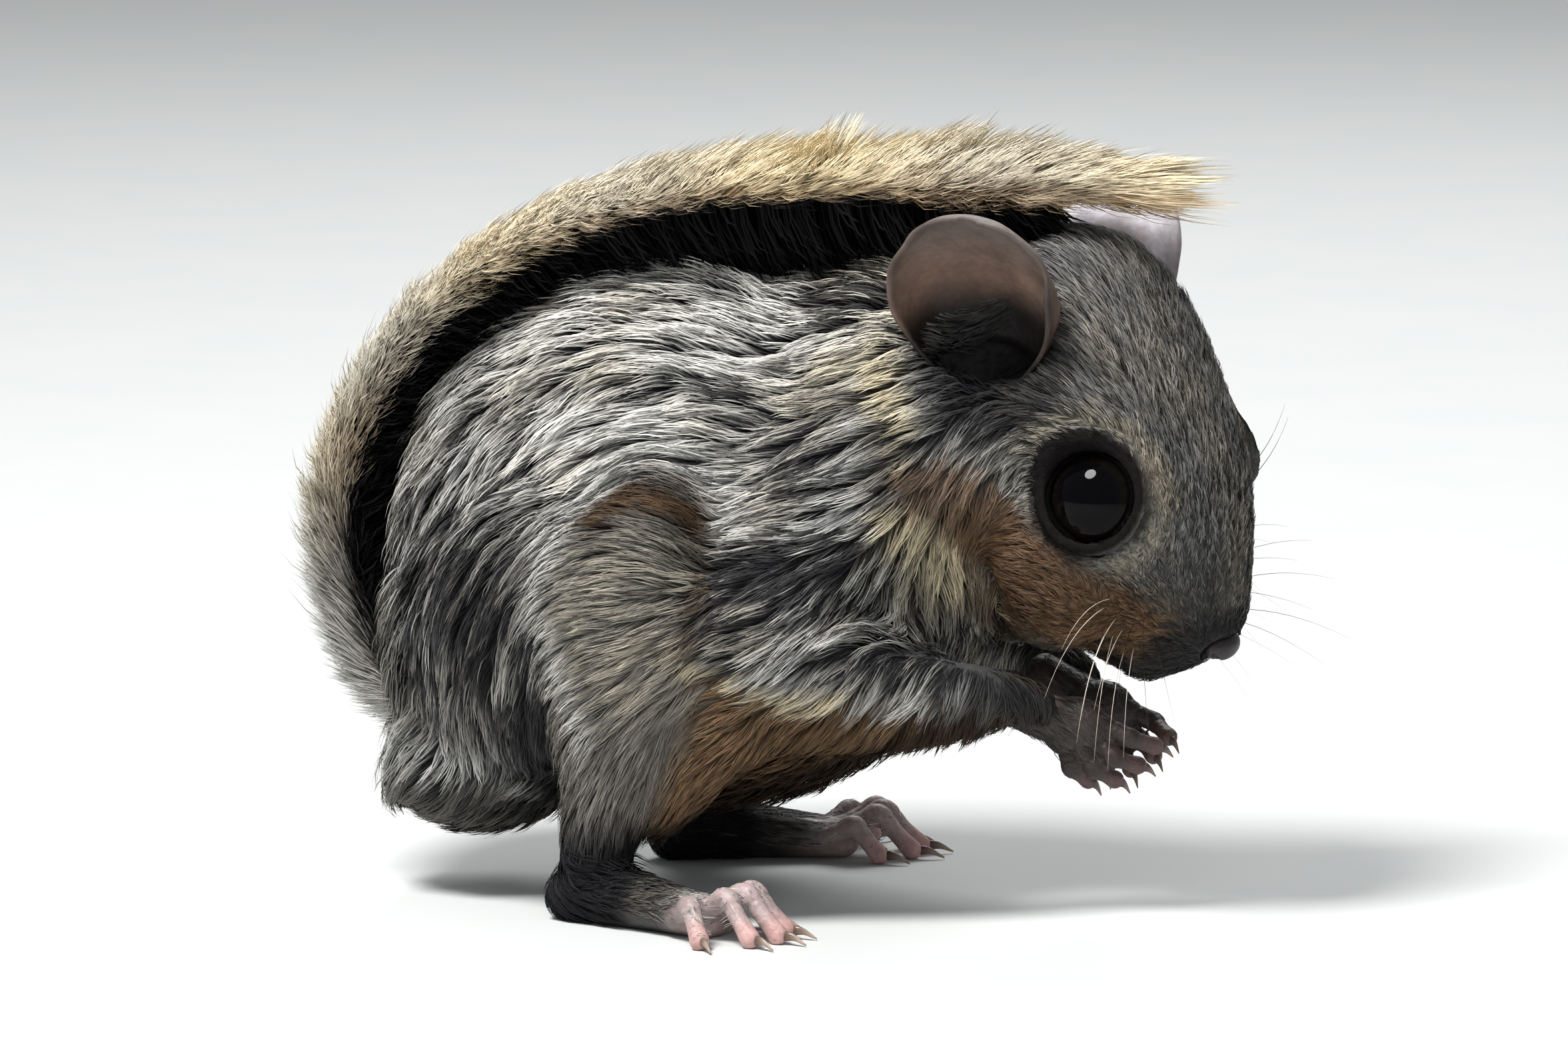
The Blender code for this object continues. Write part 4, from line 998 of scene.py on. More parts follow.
    # Painted shade: how much the coat is darkened at each place, from the spots above and the creases where the legs
    # meet the body.
    painted_shade = np.zeros(len(x))
    for (cx, cz), (rx, rz), much in SHADE_SPOTS:
        painted_shade = np.maximum(painted_shade, much * np.exp(-(((x - cx) / rx) ** 2 + ((z - cz) / rz) ** 2)))
    leg = weights[:, 4] + weights[:, 5]
    # Painted shade along the creases where the legs and shanks meet their neighbours, lower down the body.
    crease_shade = np.maximum(4 * weights[:, 5] * (1 - weights[:, 5]), 0.7 * 4 * leg * (1 - leg)) * step(42, 36, z)
    head_too = np.where((x < 27) & (z > 44), 0.5, 1.0)
    painted_shade = np.clip(painted_shade * (1 - head_too * weights[:, 0]) * (1 - weights[:, 5]) + 0.7 * surface.averaged(crease_shade, 4), 0, 0.95)
    painted_shade *= (1 - belly * 0.7) * (1 - 0.9 * np.maximum(rim_of_leg, near_knee)) * (1 - 0.8 * cheek_shape) * (1 - 0.7 * ruff_shape) * (1 - 0.85 * skirt) * (1 - 0.7 * shoulder_shape)
    # The painted shade darkens the coat's colour here; the strands use it again to pick whole tufts to darken.
    main = main * (1 - 0.35 * painted_shade)[:, None]
    main = mix(main, EYE_RING, dark)
    warm = np.clip(belly + cheek + 0.7 * ruff_shape, 0, 1)
    soft = np.maximum(0.75 * near_knee, 0.5 * shoulder_shape)
    short = weights[:, 0] + 0.3 * weights[:, 1] + 0.6 * weights[:, 5] + weights[:, 6]
    short = np.clip(np.maximum(short, soft), 0, 1)
    root = mix(mix(SLATE, main * 0.4, warm), main * 0.38, 0.7 * short)
    tip = main * (1.14 - 0.1 * short)[:, None]
    made = {"main": main, "root": root, "tip": np.clip(tip, 0, 0.85), "dark": dark, "warm": warm, "short": short}
    return {**made, "painted_shade": painted_shade, "hollow": hollow, "cover": 1 - 0.95 * step(0.25, 0.7, hollow)}


# Strands: hairs in tufts, tufts in locks, every lock laid along the skin

GUIDE_STEPS = 9


def scattered(surface, density, draw):
    """Even random places on the surface: the face of each, its share of each corner, and its place."""
    amount = surface.areas * density
    total = int(amount.sum())
    sums = np.cumsum(amount)
    picks = np.searchsorted(sums, (np.arange(total) + draw.random(total)) / total * sums[-1])
    picks = np.minimum(picks, len(amount) - 1)
    a, b = draw.random(total), draw.random(total)
    over = a + b > 1
    a[over], b[over] = 1 - a[over], 1 - b[over]
    shares = np.stack([1 - a - b, a, b], 1)
    corners = surface.corners[picks]
    places = (surface.places[corners] * shares[..., None]).sum(1)
    return picks, shares, places


def at_corners(surface, values, picks, shares):
    values = np.asarray(values)
    picked = values[surface.corners[picks]]
    if picked.ndim == 2:
        return (picked * shares).sum(1)
    return (picked * shares[..., None]).sum(1)


def nearest_of(seeds, seed_ways, places, ways, reach=1.6):
    """For each place the nearest seed, where one that faces another way counts as far."""
    tree = kdtree.KDTree(len(seeds))
    for i, co in enumerate((seeds + seed_ways * reach).tolist()):
        tree.insert(co, i)
    tree.balance()
    find = tree.find
    return np.array([find(co)[1] for co in (places + ways * reach).tolist()])


def laid_guides(surface, fields, starts, picks, lengths):
    """A path of each lock along the skin: its places and normals at GUIDE_STEPS shares of its length."""
    find = surface.tree.find_nearest
    ways, normals = fields["way"], surface.face_ways
    first_corner = surface.corners[:, 0]
    paths = np.zeros((len(starts), GUIDE_STEPS, 3))
    norms = np.zeros((len(starts), GUIDE_STEPS, 3))
    for i, (start, pick, length) in enumerate(zip(starts.tolist(), picks.tolist(), lengths.tolist())):
        here = Vector(start)
        normal = Vector(normals[pick])
        way = Vector(ways[first_corner[pick]])
        paths[i, 0], norms[i, 0] = here, normal
        stride = length / (GUIDE_STEPS - 1)
        for k in range(1, GUIDE_STEPS):
            target = here + way * stride
            found, _, face, _ = find(target)
            turned = Vector(normals[face])
            if turned.dot(normal) < 0.55 or (found - target).length > stride * 1.2:
                here = target
            else:
                here = found
                normal = (normal + turned).normalized()
                way = way * 0.5 + Vector(ways[first_corner[face]]) * 0.5
            way = (way - normal * way.dot(normal)).normalized()
            paths[i, k], norms[i, k] = here, normal
    return paths, norms


def at_share(rows, shares):
    """Rows of GUIDE_STEPS values, read at a share of the way for each row and step."""
    place = np.clip(shares, 0, 1) * (rows.shape[1] - 1)
    low = np.minimum(place.astype(int), rows.shape[1] - 2)
    part = (place - low)[..., None]
    index = np.arange(len(rows))[:, None]
    read = rows[index, low] * (1 - part) + rows[index, low + 1] * part
    past = np.clip(shares - 1, 0, None)[..., None] * (rows.shape[1] - 1)
    return read + (rows[:, -1:] - rows[:, -2:-1]) * past


def ribbons(paths, norms, widths, colours, patches, rolls):
    """Tapered ribbons of one pointed end, as arrays of places, faces, colours, map places and shading ways."""
    count, steps = paths.shape[:2]
    along = unit(np.gradient(paths, axis=1))
    flat = unit(np.cross(norms, along))
    rise = np.cross(along, flat)
    turn = rolls[:, None, None]
    sides = flat * np.cos(turn) + rise * np.sin(turn)
    faced = unit(rise * np.cos(turn) - flat * np.sin(turn) + norms * 1.2)
    left = paths[:, :-1] - sides[:, :-1] * widths[:, :-1, None]
    right = paths[:, :-1] + sides[:, :-1] * widths[:, :-1, None]
    per = 2 * (steps - 1) + 1
    places = np.empty((count, per, 3))
    places[:, 0:-1:2], places[:, 1:-1:2], places[:, -1] = left, right, paths[:, -1]
    paint = np.empty((count, per, 3))
    paint[:, 0:-1:2], paint[:, 1:-1:2], paint[:, -1] = colours[:, :-1], colours[:, :-1], colours[:, -1]
    faces = []
    for k in range(steps - 2):
        faces += [(2 * k, 2 * k + 3, 2 * k + 1), (2 * k, 2 * k + 2, 2 * k + 3)]
    faces.append((per - 3, per - 1, per - 2))
    corners = (np.array(faces)[None] + (np.arange(count) * per)[:, None, None]).reshape(-1, 3)
    spot = np.empty((per, 2))
    for k in range(steps - 1):
        spot[2 * k] = (-0.5, k / (steps - 1) - 0.5)
        spot[2 * k + 1] = (0.5, k / (steps - 1) - 0.5)
    spot[-1] = (0.0, 0.5)
    marks = patches[:, None] + spot[None] * OFBAKE_PATCH
    ways = np.empty((count, per, 3))
    ways[:, 0:-1:2] = unit(faced[:, :-1] - sides[:, :-1] * 0.8)
    ways[:, 1:-1:2] = unit(faced[:, :-1] + sides[:, :-1] * 0.8)
    ways[:, -1] = faced[:, -1]
    return places.reshape(-1, 3), corners, paint.reshape(-1, 3), marks.reshape(-1, 2), ways.reshape(-1, 3)


OFBAKE_PATCH = 0.003
MOST_TRIANGLES = 190000
coat_pieces = []


def coat_mesh(name, parts, material):
    """Joins ribbons into pieces that each stay under the limit of triangles."""
    batches, size = [[]], 0
    for part in parts:
        if size + len(part[1]) > MOST_TRIANGLES and batches[-1]:
            batches.append([])
            size = 0
        batches[-1].append(part)
        size += len(part[1])
    for number, batch in enumerate(batches, 1):
        shifts = np.cumsum([0] + [len(part[0]) for part in batch[:-1]])
        places = np.concatenate([part[0] for part in batch])
        corners = np.concatenate([part[1] + shift for part, shift in zip(batch, shifts)])
        paint = np.concatenate([part[2] for part in batch])
        marks = np.concatenate([part[3] for part in batch])
        ways = np.concatenate([part[4] for part in batch])
        places[:, 2] = np.maximum(places[:, 2], FLOOR + 0.06)
        mesh = bpy.data.meshes.new(f"{name}_{number}")
        mesh.vertices.add(len(places))
        row = (places + np.array(SHIFT)) * MM
        mesh.vertices.foreach_set("co", row.astype(np.float32).ravel())
        mesh.loops.add(corners.size)
        mesh.loops.foreach_set("vertex_index", corners.astype(np.int32).ravel())
        mesh.polygons.add(len(corners))
        mesh.polygons.foreach_set("loop_start", np.arange(0, corners.size, 3, dtype=np.int32))
        mesh.update(calc_edges=True)
        colour = mesh.attributes.new("coat", "FLOAT_COLOR", "POINT")
        colour.data.foreach_set("color", np.c_[np.clip(paint, 0, 1), np.ones(len(paint))].astype(np.float32).ravel())
        patch = mesh.uv_layers.new(name="OFBake")
        patch.data.foreach_set("uv", marks[corners.ravel()].astype(np.float32).ravel())
        shading = mesh.attributes.new("custom_normal", "FLOAT_VECTOR", "POINT")
        shading.data.foreach_set("vector", ways.astype(np.float32).ravel())
        coat_pieces.append(place_piece(f"{name}_{number}", mesh, material))
        print(name, number, len(corners), "triangles")


class Unwrap:
    """A coarse copy of the skin laid out flat, read at any place near the skin."""

    def __init__(self, surface, faces=7000):
        mesh = bpy.data.meshes.new("coarse")
        mesh.from_pydata(surface.places.tolist(), [], surface.corners.tolist())
        holder = bpy.data.objects.new("coarse", mesh)
        bpy.context.scene.collection.objects.link(holder)
        thin = holder.modifiers.new("thin", "DECIMATE")
        thin.ratio = faces / len(surface.corners)
        graph = bpy.context.evaluated_depsgraph_get()
        coarse = bpy.data.meshes.new_from_object(holder.evaluated_get(graph))
        holder.modifiers.clear()
        holder.data = coarse
        coarse.uv_layers.new(name="flat")
        bpy.context.view_layer.objects.active = holder
        holder.select_set(True)
        bpy.ops.object.mode_set(mode="EDIT")
        bpy.ops.mesh.select_all(action="SELECT")
        bpy.ops.uv.smart_project(angle_limit=math.radians(66), island_margin=0.004)
        bpy.ops.object.mode_set(mode="OBJECT")
        places, self.corners = read_mesh(coarse)
        flat = np.zeros(len(coarse.loops) * 2)
        coarse.uv_layers["flat"].data.foreach_get("uv", flat)
        loops = np.zeros(len(coarse.loop_triangles) * 3, np.int64)
        coarse.loop_triangles.foreach_get("loops", loops)
        self.marks = flat.reshape(-1, 2)[loops].reshape(-1, 3, 2)
        self.triangles = places[self.corners]
        self.tree = BVHTree.FromPolygons(places.tolist(), self.corners.tolist(), all_triangles=True)
        bpy.data.objects.remove(holder)
        bpy.data.meshes.remove(mesh)

    def at(self, places):
        found = [self.tree.find_nearest(place) for place in places.tolist()]
        face = np.array([hit[2] for hit in found])
        spot = np.array([hit[0] for hit in found])
        a, b, c = (self.triangles[face, i] for i in range(3))
        whole = np.cross(b - a, c - a)
        size = np.maximum((whole * whole).sum(1), 1e-12)
        second = (np.cross(spot - a, c - a) * whole).sum(1) / size
        third = (np.cross(b - a, spot - a) * whole).sum(1) / size
        shares = np.clip(np.stack([1 - second - third, second, third], 1), 0, 1)
        return (self.marks[face] * shares[..., None]).sum(1)


DENSITY = 1.0
TUFTS = {"head": 5.0, "neck": 2.6, "torso": 2.2, "arm": 2.6, "thigh": 2.6, "shank": 3.6, "membrane": 4.0, "tail": 0.0, "paw": 5.0}
STRAND_WIDTH = {"head": 0.045, "neck": 0.058, "torso": 0.062, "arm": 0.056, "thigh": 0.054, "shank": 0.048, "membrane": 0.045, "paw": 0.036}


def by_face(owned, surface, values):
    table = np.array([values.get(group, 0.0) for group in GROUPS])
    return table[owned[surface.corners[:, 0]]]


def grow_coat(name, groups, steps, surface, owned, fields, unwrap, material, seed):
    """Strands over the faces that the groups own, in batches of one piece each."""
    draw = np.random.default_rng(seed)
    mine = {group: 1.0 for group in groups}
    here = by_face(owned, surface, mine) * fields["cover"][surface.corners[:, 0]]
    lock_faces, _, lock_roots = scattered(surface, by_face(owned, surface, LOCKS) * here, draw)
    tuft_faces, _, tuft_roots = scattered(surface, by_face(owned, surface, TUFTS) * here, draw)
    faces, shares, roots = scattered(surface, by_face(owned, surface, STRANDS) * here * DENSITY, draw)
    first = surface.corners[:, 0]
    tuft_ways = surface.face_ways[tuft_faces]
    lock_lengths = fields["length"][first[lock_faces]] * 1.2
    tuft_lengths = fields["length"][first[tuft_faces]] * draw.uniform(0.85, 1.15, len(tuft_faces))
    lock_paths, lock_norms = laid_guides(surface, fields, lock_roots, lock_faces, lock_lengths)
    tuft_paths, tuft_norms = laid_guides(surface, fields, tuft_roots, tuft_faces, tuft_lengths)

    # A tuft belongs to the lock whose path runs nearest, and leans onto that path.
    posts = lock_paths[:, 0:-1:2]
    post_ways = lock_norms[:, 0:-1:2]
    per_lock = posts.shape[1]
    nearest = nearest_of(posts.reshape(-1, 3), post_ways.reshape(-1, 3), tuft_roots, tuft_ways)
    lock_of_tuft, begin = nearest // per_lock, (nearest % per_lock) * 2 / (GUIDE_STEPS - 1)
    tuft_of = nearest_of(tuft_roots, tuft_ways, roots, surface.face_ways[faces])
    shares_along = np.linspace(0, 1, GUIDE_STEPS)
    pull = step(0.0, 0.9, shares_along)[None, :, None]
    on = begin[:, None] + shares_along[None] * (tuft_lengths / np.maximum(lock_lengths[lock_of_tuft], 0.1))[:, None]
    gap = at_share(lock_paths[lock_of_tuft], on) - tuft_paths
    way_now = unit(np.gradient(tuft_paths, axis=1))
    gap -= way_now * (gap * way_now).sum(2, keepdims=True)
    aside = np.linalg.norm(gap[:, 0], axis=1)
    lock_half = 0.42 / np.sqrt(by_face(owned, surface, LOCKS)[lock_faces[lock_of_tuft]])
    tuft_edge = np.clip(aside / lock_half, 0, 1.5)
    away = np.linalg.norm(gap, axis=2, keepdims=True)
    gap *= np.minimum(1.0, 1.4 * lock_half[:, None, None] / np.maximum(away, 1e-6))
    tuft_paths = tuft_paths + gap * pull * 0.62

    count = len(roots)
    short = at_corners(surface, fields["short"], faces, shares)
    lengths = at_corners(surface, fields["length"], faces, shares) * draw.uniform(0.72, 1.1, count)
    depths = at_corners(surface, fields["depth"], faces, shares)
    ticks = np.linspace(0, 1, steps)[None]
    read = ticks * (lengths / np.maximum(tuft_lengths[tuft_of], 0.05))[:, None]
    path = at_share(tuft_paths[tuft_of], read)
    norms = unit(at_share(tuft_norms[tuft_of], np.minimum(read, 1.0)))
    offset = (roots - tuft_roots[tuft_of])[:, None]
    radius = np.linalg.norm(offset, axis=2)
    tuft_size = 0.62 / np.sqrt(by_face(owned, surface, TUFTS)[tuft_faces[tuft_of]])
    edge = np.clip(radius[:, 0] / tuft_size, 0, 1.3)
    lock_edge = tuft_edge[tuft_of]
    near = ticks[..., None]
    path = path + offset * (1 - 0.45 * step(0.15, 1.0, near))
    lift = np.sin(np.minimum(near[..., 0] / 0.75, 1.0) * math.pi / 2)
    lock_lift = draw.uniform(0.78, 1.12, len(lock_roots))[lock_of_tuft[tuft_of]]
    tuft_lift = draw.uniform(0.85, 1.1, len(tuft_roots))[tuft_of]
    sunk = 0.45 * (1 - 0.5 * short)
    along_lock = begin[tuft_of]
    height = depths * lock_lift * tuft_lift * (1.06 - 0.16 * edge**2) * (1.06 - sunk * step(0.45, 1.25, lock_edge))
    height *= 1 - (1 - short) * 0.28 * step(0.5, 0.0, along_lock)
    wave = draw.uniform(0, 2 * math.pi, count)
    stray = draw.normal(0, 1, (count, 1, 3)) * (depths * 0.10)[:, None, None] * near**1.5
    raised = lift * height[:, None] - 0.06
    path = path + norms * raised[..., None] + stray
    sway = np.cross(norms, unit(np.gradient(path, axis=1)))
    path = path + sway * (np.sin(near[..., 0] * 4.0 + wave[:, None]) * 0.03 * lengths[:, None] * near[..., 0])[..., None]

    dark_lock = (draw.random(len(lock_roots)) < 0.16)[lock_of_tuft[tuft_of]]
    tone_lock = draw.uniform(0.84, 1.12, len(lock_roots))[lock_of_tuft[tuft_of]]
    tone_tuft = 1 + draw.uniform(-0.12, 0.1, len(tuft_roots))[tuft_of] * (1 + 2.2 * short)
    # Painted shade: strands near a tuft's edge, which sit lower, are a little darker.
    tone = tone_lock * tone_tuft * draw.uniform(0.88, 1.1, count) * (1.06 - 0.12 * edge)
    # Darkened strands: painted shade at the edges of locks and where tufts join near the root of their lock, and the
    # hair of the dark locks; then whole tufts where the skin's painted shade is deep.
    shade_and_dark_hair = (1 - short) * np.clip(0.46 * step(0.60, 1.15, lock_edge + draw.normal(0, 0.16, count)) + 0.24 * dark_lock, 0, 0.8)
    shade_and_dark_hair += short * 0.3 * step(0.7, 1.2, lock_edge)
    shade_and_dark_hair += (1 - short) * 0.36 * step(0.42, 0.0, along_lock)
    find = surface.tree.find_nearest
    shown = path[:, -2] * 0.6 + path[:, -1] * 0.4
    seen = first[[find(co)[2] for co in shown.tolist()]]
    painted_shade = fields["painted_shade"][seen]
    tuft_chance = draw.random(len(tuft_roots))[tuft_of] * 0.7 + draw.random(count) * 0.3
    shade_and_dark_hair = np.clip(shade_and_dark_hair + 0.85 * step(0.06, -0.06, tuft_chance - painted_shade), 0, 0.93)
    colours = strand_colours(fields, first[faces], seen, near[..., 0], tone, shade_and_dark_hair, draw)

    width = by_face(owned, surface, STRAND_WIDTH)[faces] * draw.uniform(0.8, 1.2, count)
    width *= np.clip((lengths / 1.6) ** 0.35, 0.6, 1.1)
    profile = np.sin(np.pi * (0.22 + 0.72 * near[..., 0])) ** 0.7
    widths = width[:, None] * profile
    patches = unwrap.at(roots)
    rolls = draw.uniform(-0.7, 0.7, count)
    most = MOST_TRIANGLES // (2 * (steps - 2) + 1)
    parts = []
    for low in range(0, count, most):
        pick = slice(low, low + most)
        parts.append(ribbons(path[pick], norms[pick], widths[pick], colours[pick], patches[pick], rolls[pick]))
    coat_mesh(name, parts, material)


def strand_colours(fields, rooted, seen, ticks, tone, shade_and_dark_hair, draw):
    """Colours along each strand: a dark root, then those of the place where its end shows, some strands darkened along
    their length as dark hairs and as painted shade.
    """
    count = len(rooted)
    root, main, tip = fields["root"][rooted][:, None], fields["main"][seen][:, None], fields["tip"][seen][:, None]
    dark, short, warm = (fields[key][seen] for key in ("dark", "short", "warm"))
    t = np.broadcast_to(ticks, (count, ticks.shape[-1]))[..., None]
    reach = (0.14 + 0.28 * (1 - short) + 0.2 * shade_and_dark_hair)[:, None, None]
    grown = step(reach - 0.15, reach + 0.18, t)
    colours = root * (1 - grown) + main * grown
    band = step(0.55, 0.8, t)
    colours = colours * (1 - band) + tip * band
    kind = draw.random(count)
    flecks = (kind < 0.10 + 0.14 * short) & (dark < 0.4)
    share = np.where(flecks, 0.6 + 0.2 * short, 0.0) * (1 - 0.5 * warm)
    share = np.maximum(share, shade_and_dark_hair * (1 - 0.8 * warm))[:, None, None]
    colours = colours * (1 - share) + INK * share
    pale = (kind > 0.84) & (dark < 0.4)
    colours = colours * np.where(pale, 1.09 + 0.24 * short * (1 - warm), 1.0)[:, None, None]
    return np.clip(colours * tone[:, None, None], 0.002, 0.9)


# Build the skin and its coat

flesh = build_flesh()
group_share, owner = group_weights(flesh)
flesh.grow_tree()
fields = markings_and_shade(flesh, group_share)
fields["depth"] = coat_depth(flesh, group_share)
fields["length"] = coat_length(flesh, group_share)
fields["way"] = lie_of_coat(flesh, owner)
sunk_by = JOIN + fields["depth"] + 6.0 * fields["hollow"]
skin_places = flesh.averaged(flesh.places - flesh.normals * sunk_by[:, None], 2, 0.4)
skin = Surface(skin_places, flesh.corners)
skin.grow_tree()
unwrap = Unwrap(skin)

fur_finish = hair_material("grey_fur_coat", 0.55)
buff_finish = hair_material("buff_fur_coat", 0.55)
skin_finish = coloured("furred_skin", "coat", 0.85, grain=0.25, grain_scale=1400.0, grain_depth=0.0002)
skin_finish.node_tree.nodes["Principled BSDF"].inputs["Specular IOR Level"].default_value = 0.05


def make_skin():
    mesh = bpy.data.meshes.new("skin")
    mesh.from_pydata(((skin.places + np.array(SHIFT)) * MM).tolist(), [], skin.corners.tolist())
    furred = step(0.5, 1.6, fields["length"])[:, None]
    bare = fields["main"]
    paint = bare * (1 - furred) + (fields["root"] * 0.75 + fields["main"] * 0.08) * furred
    colour = mesh.attributes.new("coat", "FLOAT_COLOR", "POINT")
    colour.data.foreach_set("color", np.c_[paint, np.ones(len(paint))].astype(np.float32).ravel())
    covered = FLESH + ["tail_base", "tail_middle", "tail_end"]
    return place_piece("skin", mesh, skin_finish, covered)


skin_piece = make_skin()
grow_coat("coat_torso", ("torso", "neck"), 5, skin, owner, fields, unwrap, fur_finish, 11)
grow_coat("coat_limbs", ("arm", "thigh"), 5, skin, owner, fields, unwrap, fur_finish, 12)
grow_coat("coat_shanks", ("shank", "membrane"), 4, skin, owner, fields, unwrap, fur_finish, 13)
grow_coat("coat_head", ("head",), 4, skin, owner, fields, unwrap, fur_finish, 14)


# The tail's coat: hairs radiating from the core in a flat brush, pale outside and dark toward the back

TAIL_STRANDS = 37500
TAIL_UNDER = 10500
TAIL_TUFTS = 1100
TAIL_REACH = 1.0


def tail_hairs(share, angle, advance, reach, ticks, drop=None, curl=0.0):
    """Places along hairs from the core, where the angle goes round it: 0 at the left edge, a quarter turn on top."""
    middle, ahead, up = tail_frame(share)
    sideways = np.array((0.0, 1.0, 0.0))
    taper = tail_taper(np.minimum(share, 1.0))
    co, si = np.cos(angle), np.sin(angle)
    begin = middle + sideways * (co * TAIL_CORE_HALF_WIDTH * 0.8 * taper)[:, None] + up * (si * 0.9 * np.sqrt(taper))[:, None]
    later = share + advance / tail_length()
    centre, _, rise = tail_frame(later)
    far_taper = tail_taper(np.minimum(later, 1.0))
    wide = TAIL_HALF_WIDTH * far_taper * reach
    thick = 0.90 + 0.46 * step(0.74, 0.86, share)
    tall = TAIL_HALF_DEPTH * thick * np.maximum(np.sqrt(far_taper), 0.5) * reach
    tall = tall if drop is None else drop
    end = centre + sideways * (co * wide)[:, None] + rise * (si * tall)[:, None]
    gap = end - begin
    forward = (gap * ahead).sum(1)[:, None] * ahead
    outward = gap - forward
    t = ticks[..., None]
    path = begin[:, None] + forward[:, None] * t**1.15 + outward[:, None] * np.sin(t * math.pi / 2) ** 0.9
    path = path + rise[:, None] * (np.asarray(curl) * np.ones(len(share)))[:, None, None] * t**1.9
    norms = unit(sideways * co[:, None] * 0.8 + rise * (si + 0.15)[:, None])
    return path, np.repeat(norms[:, None], ticks.shape[1], axis=1)


def tail_strands(draw, count, tufts, spread, colours_of, under=False):
    tuft_share = draw.uniform(0.0, 1.0, tufts)
    tuft_angle = spread(tufts)
    share = draw.uniform(0.0, 1.0, count)
    angle = spread(count)

    def spot(at, turn):
        return np.c_[at * tail_length(), 7 * np.cos(turn), 5 * np.sin(turn)]

    none = np.zeros((tufts, 3))
    own = nearest_of(spot(tuft_share, tuft_angle), none, spot(share, angle), np.zeros((count, 3)), 0.0)
    ticks = np.broadcast_to(np.linspace(0, 1, 4), (count, 4))
    tuft_reach = draw.uniform(0.84, 1.06, tufts)[own]
    tuft_advance = draw.uniform(0.8, 1.2, tufts)[own]
    flat = np.abs(np.cos(angle))
    advance = (3.1 + 0.8 * (1 - flat) + 2.6 * step(0.9, 1.0, share)) * tuft_advance
    curl = 1.75 * (1 - 0.45 * np.abs(np.sin(angle))) * draw.uniform(0.4, 1.3, count) * (1 - 0.5 * step(0.86, 0.97, share))
    stand = near_bump(share, 0.762, 0.018) * step(0.2, 0.8, np.sin(angle))
    advance *= 1 - 0.55 * stand
    reach = tuft_reach * draw.uniform(0.72, 1.06, count) * (1 + 0.42 * stand) * (1 - 0.18 * near_bump(share, 0.80, 0.02))
    wisp = draw.random(count) < 0.12 * step(0.40, 0.25, share) + 0.2 * step(0.92, 0.97, share)
    reach = reach * np.where(wisp, draw.uniform(1.0, 1.3, count), 1.0)
    advance = advance * np.where(wisp, 1.5, 1.0)
    drop = None
    if under:
        share = share * 0.925
        drop = under_reach(share) * draw.uniform(0.85, 1.08, count)
        reach = reach * 0.8
        advance = advance * 0.6
        curl = 0.0
    inset = 0.0 if under else 1.3 * step(0.12, 0.28, share) * step(0.70, 0.56, share)
    path, norms = tail_hairs(share, angle, advance, reach, ticks, drop, curl - inset)
    guide, _ = tail_hairs(tuft_share[own], tuft_angle[own], advance, reach, ticks, drop, curl - inset)
    gap = guide - path
    far = np.linalg.norm(gap, axis=2, keepdims=True)
    gap *= np.minimum(1.0, 1.3 / np.maximum(far, 1e-6))
    path = path + gap * (0.4 * step(0.1, 1.0, ticks))[..., None]
    path = path + draw.normal(0, 0.22, (count, 1, 3)) * ticks[..., None] ** 1.4
    tone = draw.uniform(0.84, 1.1, tufts)[own] * draw.uniform(0.86, 1.1, count)
    colours = colours_of(share, angle, ticks, tone)
    width = (0.12 if under else 0.05) * 1.0 * draw.uniform(0.8, 1.2, count)
    widths = width[:, None] * np.sin(np.pi * (0.2 + 0.74 * ticks)) ** 0.7
    patches = unwrap.at(path[:, 0])
    rolls = draw.uniform(-0.7, 0.7, count)
    most = MOST_TRIANGLES // 5
    return [
        ribbons(path[low : low + most], norms[low : low + most], widths[low : low + most], colours[low : low + most],
                patches[low : low + most], rolls[low : low + most])
        for low in range(0, count, most)
    ]


def near_bump(share, middle, width):
    return np.exp(-(((share - middle) / width) ** 2))


def under_reach(share):
    """How far below the tail's middle a hair must end to touch the back."""
    ticks = np.linspace(0, 1, 80)
    middle, _, up = tail_frame(ticks)
    gaps = []
    for place, way in zip(middle, up):
        hit = skin_only.tree.ray_cast(Vector(place) - Vector(way) * 2.6, -Vector(way), 12.0)
        gaps.append(hit[3] + 2.6 if hit[0] is not None else 3.2)
    gaps = np.interp(share, ticks, gaps)
    return np.minimum(gaps, 9.4 - 2.0 * step(0.84, 0.90, share))


